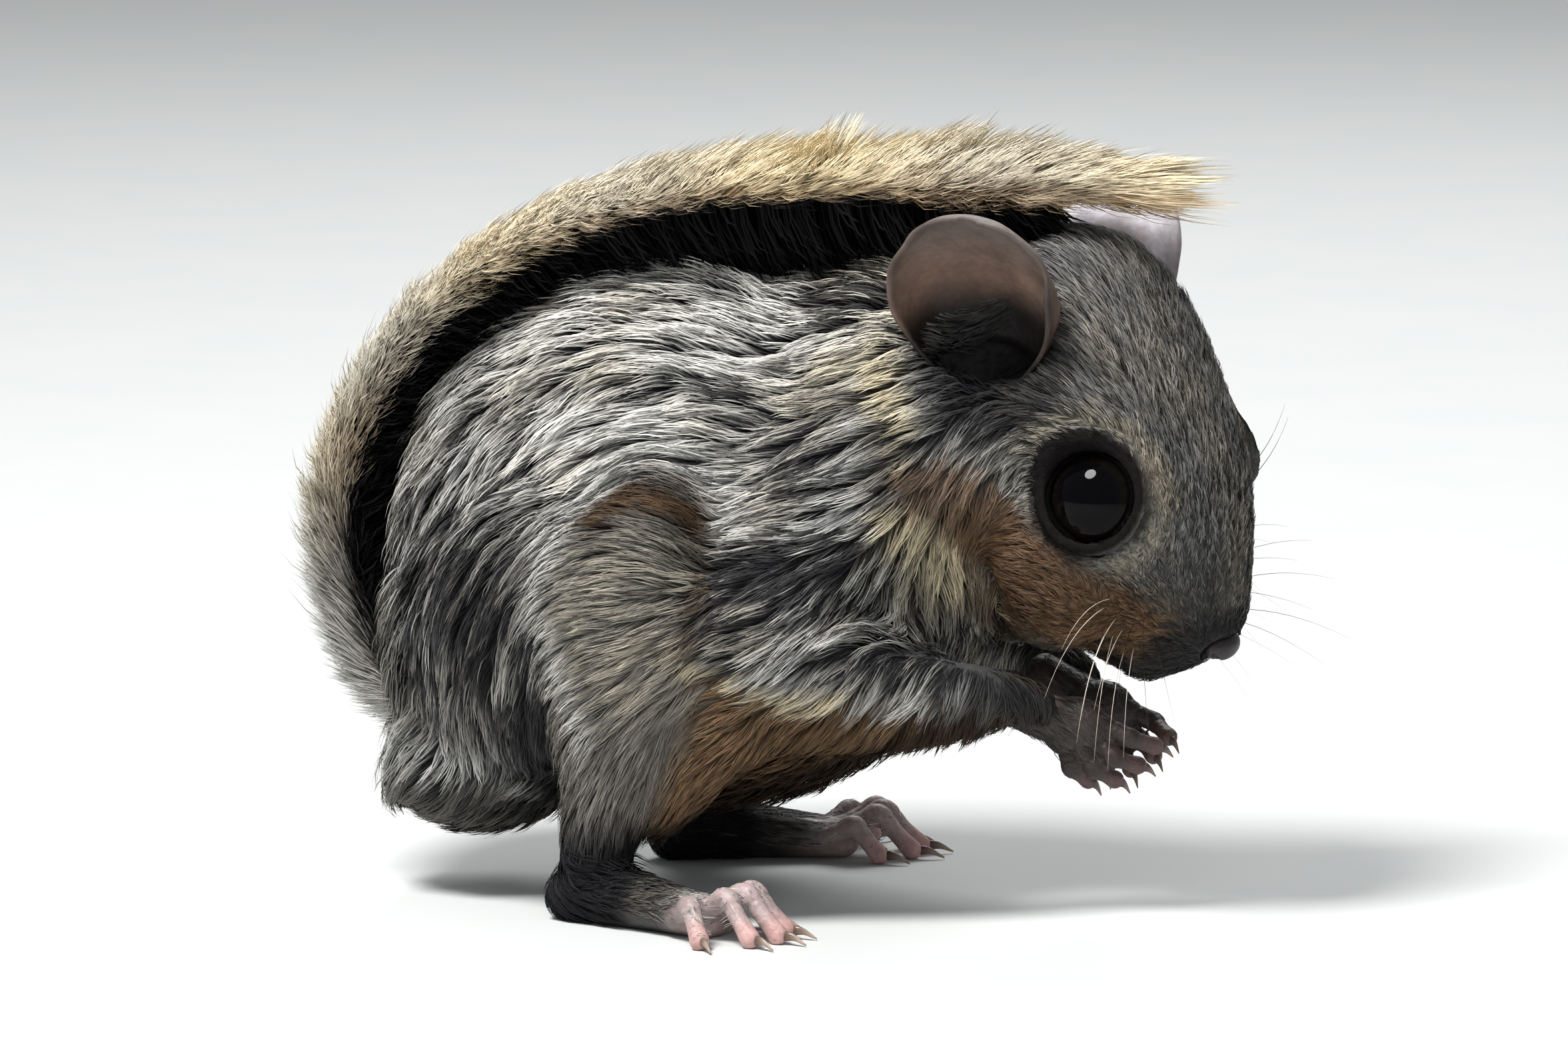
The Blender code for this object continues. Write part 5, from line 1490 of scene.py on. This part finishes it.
def tail_tint(draw):
    def pale(share, angle, ticks, tone):
        count = len(share)
        frost = 0.25 + 0.25 * np.sin(share * 23) + 0.3 * step(0.35, 0.1, share) + 0.35 * near_bump(share, 0.42, 0.10)
        outer = mix(TAIL_CREAM, SILVER * 0.9, np.clip(frost, 0, 1))
        si = np.sin(angle)
        rusty = (0.25 + 0.6 * draw.random(count)) * (1 - 0.7 * near_bump(share, 0.42, 0.12))
        outer = mix(outer, OCHRE * 1.05, rusty * step(0.2, -0.55, si))
        outer = mix(outer, SILVER * 0.68, 0.8 * step(0.32, 0.14, share))
        inner = mix(TAIL_DARK, TAIL_FRINGE, 0.4 * draw.random(count))
        edge = -0.60 - 0.5 * step(0.78, 0.88, share) - 0.70 * near_bump(share, 0.40, 0.13) + draw.normal(0, 0.08, count)
        down = step(edge + 0.12, edge - 0.12, si)
        main = mix(outer, inner, down)
        root = mix(BUFF_GREY * 0.6, inner * 0.7, down)
        fringe = (draw.random(count) < 0.10 + 0.4 * near_bump(share, 0.52, 0.12)) & (si > 0.1)
        tip = np.where(fringe[:, None], TAIL_FRINGE, main * 1.06)
        t = ticks[..., None]
        grown = step(0.08, 0.34, t)
        colours = root[:, None] * (1 - grown) + main[:, None] * grown
        colours = colours * (1 - step(0.6, 0.95, t)) + tip[:, None] * step(0.6, 0.95, t)
        return np.clip(colours * tone[:, None, None], 0.002, 0.9)

    # Painted shade: the hairs under the tail are near-black, darker than the tail's own underside, and hang down to the
    # back, so that they fill the gap below the tail with shade.
    def shaded_underhair(share, angle, ticks, tone):
        main = mix(INK * 0.25, INK * 0.9, draw.random(len(share)) ** 2)
        return np.clip(np.repeat(main[:, None], ticks.shape[1], axis=1) * tone[:, None, None], 0.002, 0.9)

    return pale, shaded_underhair


def without_tail():
    """The skin but for the tail's core, to find how far off the back is."""
    keep = owner[skin.corners[:, 0]] != GROUPS.index("tail")
    made = Surface(skin.places, skin.corners[keep])
    made.grow_tree()
    return made


def grow_tail():
    draw = np.random.default_rng(21)

    def all_round(count):
        side = np.where(draw.random(count) < 0.5, 0.0, math.pi)
        turned = side + draw.normal(0, 0.62, count)
        return np.where(draw.random(count) < 0.16, math.pi / 2 + draw.normal(0, 0.5, count), turned)

    def below(count):
        return -math.pi / 2 + draw.normal(0, 0.42, count)

    pale, shaded_underhair = tail_tint(draw)
    parts = tail_strands(draw, int(TAIL_STRANDS * DENSITY), TAIL_TUFTS, all_round, pale)
    coat_mesh("coat_tail", parts, buff_finish)
    parts = tail_strands(draw, int(TAIL_UNDER * DENSITY), 300, below, shaded_underhair, under=True)
    coat_mesh("coat_tail_under_shaded", parts, buff_finish)


skin_only = without_tail()
grow_tail()


# Eyes and lids

def paint_verts(form, colour_at):
    layer = form.verts.layers.float_color.new("paint")
    for vert in form.verts:
        vert[layer] = (*[float(max(c, 0.0)) for c in colour_at(vert.co)], 1.0)


def glossy(name, roughness, coat):
    made = coloured(name, "paint", roughness, grain=0.2, grain_scale=2600.0, grain_depth=0.0)
    shader = made.node_tree.nodes["Principled BSDF"]
    shader.inputs["Specular IOR Level"].default_value = coat
    return made


eye_finish = glossy("eye_gloss", 0.03, 0.09)
lid_finish = coloured("lid_skin", "paint", 0.7, grain=0.2, grain_scale=2200.0, grain_depth=0.0001)
lid_finish.node_tree.nodes["Principled BSDF"].inputs["Specular IOR Level"].default_value = 0.02


def make_eye(side):
    form = bmesh.new()
    way = head_way(EYE_FACES, side)
    middle = on_head(EYE_PLACE, side)
    turn = way.to_track_quat("Z", "Y").to_matrix().to_4x4()
    bmesh.ops.create_uvsphere(form, u_segments=64, v_segments=40, radius=EYE_RADIUS, matrix=Matrix.Translation(middle) @ turn)

    def colour(place):
        off = (place - middle).normalized()
        angle = math.degrees(off.angle(way))
        iris = float(step(34, 40, angle) * step(66, 58, angle))
        rays = 0.75 + 0.5 * noise.noise(off.cross(way).normalized() * 9.0)
        return [dark * (1 - iris) + brown * iris * rays for dark, brown in zip((0.001, 0.001, 0.0015), (0.004, 0.003, 0.0025))]

    paint_verts(form, colour)
    finish_piece("eyeball_" + side, form, eye_finish, ["eye_" + side])


LID_RADIUS = 3.9
LID_RISE = 4.95


def make_lids(side):
    """A dark rim round the eyeball: a closed ring, drawn out to a point toward the nose."""
    way = head_way(EYE_FACES, side)
    middle = on_head(EYE_PLACE, side)
    forward = head_way((-1.0, 0.0, -0.28), side)
    forward = (forward - way * forward.dot(way)).normalized()
    upward = way.cross(forward) * -SIDES[side]
    form = bmesh.new()
    count, sides = 72, 12
    rings = []
    for i in range(count):
        turn = 2 * math.pi * i / count
        toward = math.cos(turn)
        corner = max(toward, 0.0) ** 14
        back_corner = max(-toward, 0.0) ** 20
        radius = LID_RADIUS + 0.95 * corner + 0.25 * back_corner
        height = math.sqrt(max(LID_RISE**2 - LID_RADIUS**2, 0.1)) - 0.85 * corner - 0.3 * back_corner
        spoke = forward * math.cos(turn) + upward * math.sin(turn)
        place = middle + spoke * radius + way * height
        out = (place - middle).normalized()
        ahead = (upward * math.cos(turn) - forward * math.sin(turn)).normalized()
        across = out.cross(ahead).normalized()
        low = 0.5 - 0.5 * math.sin(turn)
        rings.append((place, across * (0.42 + 0.10 * low), out * (0.26 + 0.04 * low)))
    first, before = None, None
    for place, across, out in rings:
        verts = bmesh.ops.create_circle(form, segments=sides, radius=1.0, matrix=ring_matrix(place, across, out))["verts"]
        if before:
            for k in range(sides):
                form.faces.new((before[k], before[(k + 1) % sides], verts[(k + 1) % sides], verts[k]))
        first = first or verts
        before = verts
    for k in range(sides):
        form.faces.new((before[k], before[(k + 1) % sides], first[(k + 1) % sides], first[k]))
    bmesh.ops.recalc_face_normals(form, faces=form.faces)
    rim = np.array(EYE_RING) * 0.2
    paint_verts(form, lambda place: rim * (0.8 + 0.5 * noise.noise(place * 1.7)))
    finish_piece("lids_" + side, form, lid_finish)


# Ears

EAR_SHEET = 30
EAR_SHOWN = {"right": 1.0, "left": 0.9}
ear_finish = coloured("ear_leather", "paint", 0.55, grain=0.16, grain_scale=1500.0, grain_depth=0.00012, subsurface=0.15)


def ear_half_width(share):
    if share < EAR_WIDEST:
        return EAR_HALF_WIDTH * (EAR_FOOT_SHARE + (1 - EAR_FOOT_SHARE) * math.sin(share / EAR_WIDEST * math.pi / 2))
    return EAR_HALF_WIDTH * math.sqrt(max(1 - ((share - EAR_WIDEST) / (1 - EAR_WIDEST)) ** 2.3, 0.012))


def ear_place(side, share, across_share):
    """A place on the ear's sheet, and the way its hollow faces."""
    tall = head_way(EAR_POINTS[side], side)
    faces = head_way(EAR_FACES, side)
    faces = (faces - tall * faces.dot(tall)).normalized()
    across = tall.cross(faces).normalized()
    base = on_head(EAR_BASE[side], side) - tall * EAR_SUNK
    share_of_length = EAR_SHOWN[side]
    half = ear_half_width(share)
    curl = math.radians(EAR_CURL[0] + (EAR_CURL[1] - EAR_CURL[0]) * share**0.8)
    radius = half / (math.sin(curl) if curl < math.pi / 2 else 1.0)
    turn = curl * across_share
    sink = -radius * (math.cos(turn) - math.cos(curl)) * EAR_CUP
    place = base + tall * EAR_LENGTH * share_of_length * share + across * radius * math.sin(turn) + faces * sink
    return place, faces, across, tall


def make_ear(side):
    form = bmesh.new()
    bmesh.ops.create_grid(form, x_segments=EAR_SHEET, y_segments=EAR_SHEET, size=1.0)
    layer = form.verts.layers.float_color.new("paint")
    near = side == "right"
    # Painted light: the far ear, which catches the light, is painted in much paler colours than the near one. The near
    # ear's rim is painted dark as shade.
    low = linear(126, 103, 90) if near else linear(190, 184, 189)
    high = linear(108, 98, 92) if near else linear(206, 204, 211)
    deep = linear(24, 19, 18) if near else linear(58, 50, 50)
    rim = linear(74, 64, 60) if near else linear(222, 218, 222)
    for vert in form.verts:
        across_share, tall_share = vert.co.x, (vert.co.y + 1) / 2
        share = 1 - (1 - tall_share) ** 1.5
        place, faces, across, tall = ear_place(side, share, across_share)
        edge = max(abs(across_share), 0.0) ** 6 * float(step(0.1, 0.4, share))
        edge = max(edge, float(step(0.93, 1.0, share)))
        place = place + faces * 0.35 * edge + faces * 0.18 * noise.noise(place * 0.35)
        front = across_share * -SIDES[side]
        ridge = math.exp(-(((front - 0.3) / 0.12) ** 2)) * float(step(0.1, 0.3, share) * step(0.75, 0.45, share))
        place = place + faces * 0.45 * ridge
        fold = float(step(0.66, 0.92, front) * step(0.80, 0.55, share))
        place = place + faces * 0.9 * fold + across * SIDES[side] * 0.7 * fold
        dent = math.exp(-(((front + 0.95) / 0.22) ** 2) - ((share - 0.78) / 0.10) ** 2)
        place = place - across * SIDES[side] * 0.55 * dent
        vert.co = place
        # Painted shade: low in the cup, away from its sides, the ear takes the dark colour.
        depth = float(step(0.44, 0.16, share) * step(1.5, 0.5, abs(across_share) * step(0.1, 0.4, share) + 0.3))
        shade = low + (high - low) * float(step(0.35, 0.9, share))
        shade = shade * (1 - depth) + deep * depth
        # The rim takes painted shade on the near ear and painted light on the far one; the folded front edge gets
        # painted shade, and the raised ridge a painted highlight.
        shade = shade * (1 - 0.6 * edge * (1 - depth)) + rim * 0.6 * edge * (1 - depth)
        shade = shade * (1 - 0.72 * fold) + deep * 0.72 * fold
        shade = shade * (0.9 + 0.3 * noise.noise(place * 0.5)) * (1.0 + 0.18 * ridge)
        vert[layer] = (*[float(c) for c in shade], 1.0)
    bmesh.ops.recalc_face_normals(form, faces=form.faces)
    bmesh.ops.solidify(form, geom=form.faces, thickness=0.34)
    finish_piece("ear_leaf_" + side, form, ear_finish, ["ear_" + side])


# The nose

nose_finish = coloured("nose_skin", "paint", 0.38, grain=0.18, grain_scale=3200.0, grain_depth=0.00012, subsurface=0.05)


def make_nose():
    form = bmesh.new()
    middle, axes = NOSE_PAD
    turn = HEAD @ Matrix.Translation(Vector((-middle[0], middle[1], middle[2]))) @ Matrix.Diagonal((*axes, 1.0))
    bmesh.ops.create_uvsphere(form, u_segments=64, v_segments=40, radius=1.0, matrix=turn)
    layer = form.verts.layers.float_color.new("paint")
    for vert in form.verts:
        inside = HEAD_BACK @ vert.co
        back, out, up = -inside.x, inside.y, inside.z
        spot = abs(out) - 1.15
        slit = math.hypot(spot / 0.75, (up - 1.3 - 0.45 * spot) / 0.34)
        hole = float(step(1.25, 0.6, slit) * step(1.6, 0.6, back))
        split = float(step(0.22, 0.05, abs(out)) * step(1.4, 0.6, up))
        vert.co += head_way((1.0, 0.0, 0.0)) * (0.55 * hole + 0.22 * split)
        lower = float(step(0.9, 0.1, up))
        shade = mix(linear(38, 33, 33), linear(112, 82, 76), lower * 0.7)
        # Painted shade: the nostrils and the groove between them, dented a little, are painted near-black.
        shade = shade * (1 - 0.92 * max(hole, 0.7 * split)) * (1 + 0.25 * noise.noise(vert.co * 3.0))
        vert[layer] = (*[float(max(c, 0.002)) for c in shade], 1.0)
    finish_piece("nose_pad", form, nose_finish, ["nose"])


# Hands, feet and claws

hand_finish = coloured("hand_skin", "paint", 0.5, grain=0.2, grain_scale=2400.0, grain_depth=0.00025, subsurface=0.1)
foot_finish = coloured("foot_skin", "paint", 0.45, grain=0.14, grain_scale=2000.0, grain_depth=0.0002, subsurface=0.2)
claw_finish = coloured("claw_horn", "paint", 0.25, grain=0.15, grain_scale=1800.0, grain_depth=0.00005)


def creased(form, digits, start, side, turned):
    """Shallow creases across each finger where it bends."""
    spots = []
    for digit in digits:
        root, knuckle, tip = (start + turned(place) for place in digit)
        for share in (0.35, 0.55, 0.75):
            spots.append((mirrored(root.lerp(knuckle, share), side), (knuckle - root).normalized()))
        for share in (0.25, 0.42, 0.6, 0.78):
            spots.append((mirrored(knuckle.lerp(tip, share), side), (tip - knuckle).normalized()))
    for vert in form.verts:
        for place, way in spots:
            off = vert.co - place
            if off.length_squared < 2.2:
                along = off.dot(Vector((way.x, way.y * SIDES[side], way.z)))
                vert.co -= vert.normal * 0.10 * math.exp(-((along / 0.16) ** 2))
                break


paw_parts = []


def keep_paw(form, kind, side):
    """Keeps a finished hand's or foot's shape, for its own short coat."""
    mesh = bpy.data.meshes.new("paw")
    form.to_mesh(mesh)
    paw_parts.append((*read_mesh(mesh), kind, side))
    bpy.data.meshes.remove(mesh)


def paw_fields():
    """The four paws as one surface, with the lie, depth and colours of their hair."""
    places = np.concatenate([part[0] for part in paw_parts])
    shifts = np.cumsum([0] + [len(part[0]) for part in paw_parts[:-1]])
    paws = Surface(places, np.concatenate([part[1] + shift for part, shift in zip(paw_parts, shifts)]))
    paws.grow_tree()
    is_foot = np.concatenate([np.full(len(part[0]), part[2] == "foot") for part in paw_parts])
    folded, sign = own_side(places)
    from_heel = (folded - np.array(HEEL)) @ np.array(Matrix.Rotation(math.radians(FOOT_YAW), 3, "Z"))
    toeward = np.where(is_foot, from_heel[:, 0], 0.0)
    from_wrist = np.linalg.norm(folded - np.array(WRIST), axis=1)
    knuckles = np.where(is_foot, toeward / 21.0, 0.25 + from_wrist / 12.0)
    foot_way = np.array(turned_out((1.0, 0.0, -0.1)))
    ways = np.where(is_foot[:, None], foot_way, (0.75, -0.25, -0.6))
    lean = step(3.0, -2.0, toeward)[:, None] * is_foot[:, None]
    ways = ways * (1 - lean) + np.array((0.2, 0.0, -0.95)) * lean
    ways[:, 1] *= sign
    ways = unit(ways - paws.normals * (ways * paws.normals).sum(1, keepdims=True))
    pale = step(0.50, 0.70, knuckles)[:, None]
    foot_main = (INK * 0.85) * (1 - pale) + SILVER * 0.85 * pale
    middle = step(0.35, 0.5, knuckles)[:, None] * (1 - pale)
    foot_main = foot_main * (1 - middle) + BROWN_GREY * 0.6 * middle
    main = np.where(is_foot[:, None], foot_main, BROWN_GREY * 0.45)
    top = step(-0.35, 0.1, paws.normals[:, 2])
    foot_cover = np.maximum(top, step(7.0, 4.5, toeward)) * step(1.02, 0.86, knuckles) * (1 - 0.5 * step(0.6, 0.85, knuckles))
    foot_cover = foot_cover * step(0.3, 0.9, folded[:, 2])
    hand_cover = step(0.95, 0.45, knuckles) * 0.6
    cover = np.where(is_foot, foot_cover, hand_cover)
    length = np.where(is_foot, 2.4 - 1.7 * step(0.1, 0.8, knuckles), 1.3 - 0.6 * step(0.4, 0.9, knuckles))
    depth = np.where(is_foot, 0.42 - 0.34 * step(0.15, 0.75, knuckles), 0.14)
    none = np.zeros(len(places))
    fields = {"main": main, "root": main * 0.5, "tip": main * 1.15, "way": ways, "length": length, "depth": depth}
    return paws, {**fields, "cover": cover, "dark": none, "warm": none, "painted_shade": none, "short": none + 1.0}


def grow_paw_coat():
    paws, fields = paw_fields()
    owned = np.full(len(paws.places), GROUPS.index("paw"))
    grow_coat("coat_paws", ("paw",), 4, paws, owned, fields, Unwrap(paws, 4000), fur_finish, 15)


def make_hand(side):
    form = bmesh.new()
    hand_form(form, side)
    form = melted(form, 0.2, 2)
    form.normal_update()
    wrist = Vector(WRIST)
    creased(form, HAND_DIGITS, wrist, side, Vector)
    tips = [mirrored(wrist + Vector(digit[2]), side) for digit in HAND_DIGITS]

    def colour(place):
        near_tip = min((place - tip).length for tip in tips)
        shade = mix(HAND_SKIN, linear(120, 90, 84), 0.35 * float(step(3.0, 0.6, near_tip)))
        return shade * (1 + 0.35 * noise.noise(place * 1.3))

    paint_verts(form, colour)
    keep_paw(form, "hand", side)
    finish_piece("hand_skin_" + side, form, hand_finish, ["hand_" + side])


def make_foot(side):
    form = bmesh.new()
    foot_form(form, side)
    form = melted(form, 0.24, 2)
    for vert in form.verts:
        vert.co.z = max(vert.co.z, FLOOR + 0.01)
    form.normal_update()
    heel = Vector(HEEL)
    creased(form, FOOT_DIGITS, heel, side, turned_out)
    for vert in form.verts:
        vert.co.z = max(vert.co.z, FLOOR + 0.01)
    tips = [mirrored(heel + turned_out(digit[2]), side) for digit in FOOT_DIGITS]

    def colour(place):
        near_tip = min((place - tip).length for tip in tips)
        shade = mix(TOE_SKIN, linear(206, 150, 142), 0.5 * float(step(2.5, 0.5, near_tip)))
        dusk = float(step(3.0, -3.0, place.x))
        shade = mix(shade, linear(40, 37, 37), dusk)
        return shade * (1 + 0.22 * noise.noise(place * 0.9))

    paint_verts(form, colour)
    keep_paw(form, "foot", side)
    finish_piece("foot_skin_" + side, form, foot_finish, ["foot_" + side])


def make_claws(name, side, start, digits, radius, length, drop):
    pale, dark = (linear(156, 140, 126), linear(92, 70, 62)) if name == "foot_claw" else (linear(118, 102, 92), linear(60, 48, 44))
    for number, digit in enumerate(digits, 1):
        form = bmesh.new()
        knuckle, tip = (mirrored(start + Vector(digit[i]), side) for i in (1, 2))
        way = (tip - knuckle).normalized()
        way = Vector((way.x, way.y, way.z * drop)).normalized()
        begin = tip + way * (radius * 0.6)
        across = way.cross(Vector((0, 0, 1))).normalized()
        up = across.cross(way).normalized()
        whole = length + radius * 0.3 + 0.3
        rings = []
        for i in range(13):
            share = i / 12
            bow = 0.55 * math.sin(share * math.pi * 0.5) ** 2
            middle = begin + way * whole * share - up * 0.45 * whole * bow * share + up * 0.1 * math.sin(share * math.pi)
            size = CLAW_RADIUS * (1 - 0.9 * share) * (0.7 + 0.3 * float(step(0, 0.15, share))) + 0.02
            middle.z = max(middle.z, FLOOR + size * 1.35 + 0.02)
            rings.append((middle, across * size * 0.85, up * size * 1.35))
        loft(form, rings, 14)
        bmesh.ops.recalc_face_normals(form, faces=form.faces)
        paint_verts(form, lambda place: mix(dark, pale, float(step(0.1, 0.8, (place - begin).length / whole))))
        finish_piece(f"{name}_{side}_{number}", form, claw_finish, [f"claw_{name.split('_')[0]}_{side}_{number}"])


# Whiskers

whisker_finish = coloured("whisker_hair", "paint", 0.35, grain=0.1, grain_scale=900.0, grain_depth=0.0)


def whisker(form, root, way, bend, length, radius):
    rings = []
    for i in range(11):
        share = i / 10
        place = root + way * length * share + bend * length * share * share
        ahead = (way + bend * 2 * share).normalized()
        across = ahead.cross(Vector((0.0, 0.0, 1.0)) if abs(ahead.z) < 0.9 else Vector((1.0, 0.0, 0.0))).normalized()
        size = radius * (1 - 0.85 * share)
        rings.append((place, across * size, ahead.cross(across) * size))
    loft(form, rings, 5)


# Each row's way out of the pad, as (back, out, up), and its share of dark hairs.
WHISKER_ROWS = (
    ((-0.15, 0.80, 0.60), 1.0),
    ((-0.30, 0.80, 0.42), 0.8),
    ((-0.45, 0.80, 0.22), 0.4),
    ((-0.60, 0.72, 0.02), 0.0),
)


def make_whiskers(side):
    draw = np.random.default_rng(31)
    form = bmesh.new()
    layer = form.verts.layers.float_color.new("paint")
    for row, (start_way, dark_share) in enumerate(WHISKER_ROWS):
        for column in range(3 + (row > 0)):
            spot = (4.2 + 1.9 * column, 4.4 + 0.45 * column, -1.6 - 1.15 * row + 0.25 * column)
            root = on_head(spot, side)
            found, _, face, _ = skin.tree.find_nearest(root)
            out = Vector(skin.face_ways[face])
            turn = [float(draw.normal(0, 0.06)) for _ in range(3)]
            way = Vector(start_way) + Vector((0.22 * column, 0.0, -0.05 * column)) + Vector(turn)
            way = (head_way(way, side) + out * 0.15).normalized()
            bend = head_way((-1.0, 0.0, -0.2), side) * float(draw.uniform(0.25, 0.5))
            length = float(draw.uniform(10.0, 13.5)) * (1.0 - 0.06 * row)
            start = len(form.verts)
            whisker(form, found - out * 0.3, way, bend, length, 0.038)
            form.verts.ensure_lookup_table()
            shade = linear(34, 28, 26) if draw.random() < dark_share else linear(226, 216, 200)
            for vert in form.verts[start:]:
                vert[layer] = (*[float(c) for c in shade], 1.0)
    high = [on_head((12.5 + 1.2 * i, 7.2, 8.2), side) for i in range(2)]
    for i, root in enumerate(high):
        found, _, face, _ = skin.tree.find_nearest(root)
        out = Vector(skin.face_ways[face])
        start = len(form.verts)
        whisker(form, found - out * 0.3, (out + head_way((0.5, 0.1, 0.3), side)).normalized(), head_way((0.3, 0, -0.1), side) * 0.3, 6.5, 0.045)
        form.verts.ensure_lookup_table()
        for vert in form.verts[start:]:
            vert[layer] = (0.02, 0.016, 0.015, 1.0)
    bmesh.ops.recalc_face_normals(form, faces=form.faces)
    finish_piece("whiskers_" + side, form, whisker_finish)


make_nose()
for one_side in SIDES:
    make_eye(one_side)
    make_lids(one_side)
    make_ear(one_side)
    make_hand(one_side)
    make_foot(one_side)
    make_claws("hand_claw", one_side, Vector(WRIST), HAND_DIGITS, HAND_DIGIT_RADIUS, HAND_CLAW, 1.0)
    toes = [tuple(turned_out(place) for place in digit) for digit in FOOT_DIGITS]
    make_claws("foot_claw", one_side, Vector(HEEL), toes, FOOT_DIGIT_RADIUS, FOOT_CLAW, 0.0)
    make_whiskers(one_side)
grow_paw_coat()


# Floor, light and camera

def make_floor():
    form = bmesh.new()
    bmesh.ops.create_grid(form, x_segments=1, y_segments=1, size=3.0)
    mesh = bpy.data.meshes.new("floor")
    form.to_mesh(mesh)
    form.free()
    made, nodes, links = new_material("floor_paint")
    shader = nodes["Principled BSDF"]
    shader.inputs["Roughness"].default_value = 0.7
    place = nodes.new("ShaderNodeTexCoord")
    speckle = nodes.new("ShaderNodeTexNoise")
    speckle.inputs["Scale"].default_value = 60.0
    tint = nodes.new("ShaderNodeMix")
    tint.data_type = "RGBA"
    tint.inputs["A"].default_value = (0.62, 0.64, 0.64, 1)
    tint.inputs["B"].default_value = (0.66, 0.67, 0.66, 1)
    links.new(place.outputs["Object"], speckle.inputs["Vector"])
    links.new(speckle.outputs["Fac"], tint.inputs["Factor"])
    links.new(tint.outputs["Result"], shader.inputs["Base Color"])
    mesh.materials.append(made)
    floor = bpy.data.objects.new("floor", mesh)
    bpy.context.scene.collection.objects.link(floor)


def add_light(name, place, target, size, power, colour=(1, 1, 1)):
    lamp = bpy.data.lights.new(name, "AREA")
    lamp.shape = "DISK"
    lamp.size = size
    lamp.energy = power
    lamp.color = colour
    holder = bpy.data.objects.new(name, lamp)
    holder.location = place
    holder.rotation_mode = "QUATERNION"
    holder.rotation_quaternion = (Vector(place) - Vector(target)).to_track_quat("Z", "Y")
    bpy.context.scene.collection.objects.link(holder)
    return holder


def add_camera():
    a, e = math.radians(VIEW_AZIMUTH), math.radians(VIEW_ELEVATION)
    back = Vector((math.sin(a) * math.cos(e), -math.cos(a) * math.cos(e), math.sin(e)))
    right = Vector((math.cos(a), math.sin(a), 0))
    up = back.cross(right)
    aim = (SHIFT + right * VIEW_MIDDLE[0] + up * VIEW_MIDDLE[1]) * MM
    data = bpy.data.cameras.new("camera")
    data.sensor_width = 36.0
    data.lens = 36.0 * VIEW_DISTANCE / VIEW_WIDTH
    data.clip_start = 0.01
    camera = bpy.data.objects.new("camera", data)
    camera.location = aim + back * VIEW_DISTANCE
    camera.rotation_mode = "QUATERNION"
    camera.rotation_quaternion = back.to_track_quat("Z", "Y")
    bpy.context.scene.collection.objects.link(camera)
    bpy.context.scene.camera = camera
    return back, right, up


make_floor()
view_back, view_right, view_up = add_camera()
subject = Vector((0.0, 0.0, 0.035))
key_way = (view_back * 0.52 + view_up * 0.80 - view_right * 0.36).normalized()
fill_way = (view_back * 0.9 + view_right * 0.05 + view_up * 0.36).normalized()
rim_way = (view_up * 0.75 - view_back * 0.6 + view_right * 0.1).normalized()
add_light("key", subject + key_way * 0.6, subject, 0.22, 5.8, (1.0, 0.99, 0.98))
fill = add_light("fill", subject + fill_way * 0.8, subject, 0.5, 1.4, (0.96, 0.98, 1.0))
add_light("rim", subject + rim_way * 0.7, subject, 0.4, 2.4)
fill.visible_glossy = False
world = bpy.data.worlds.new("studio")
bpy.context.scene.world = world
world.use_nodes = True
world.node_tree.nodes["Background"].inputs["Color"].default_value = (0.86, 0.88, 0.9, 1)
world.node_tree.nodes["Background"].inputs["Strength"].default_value = 0.34
bpy.context.scene.view_settings.view_transform = "Standard"
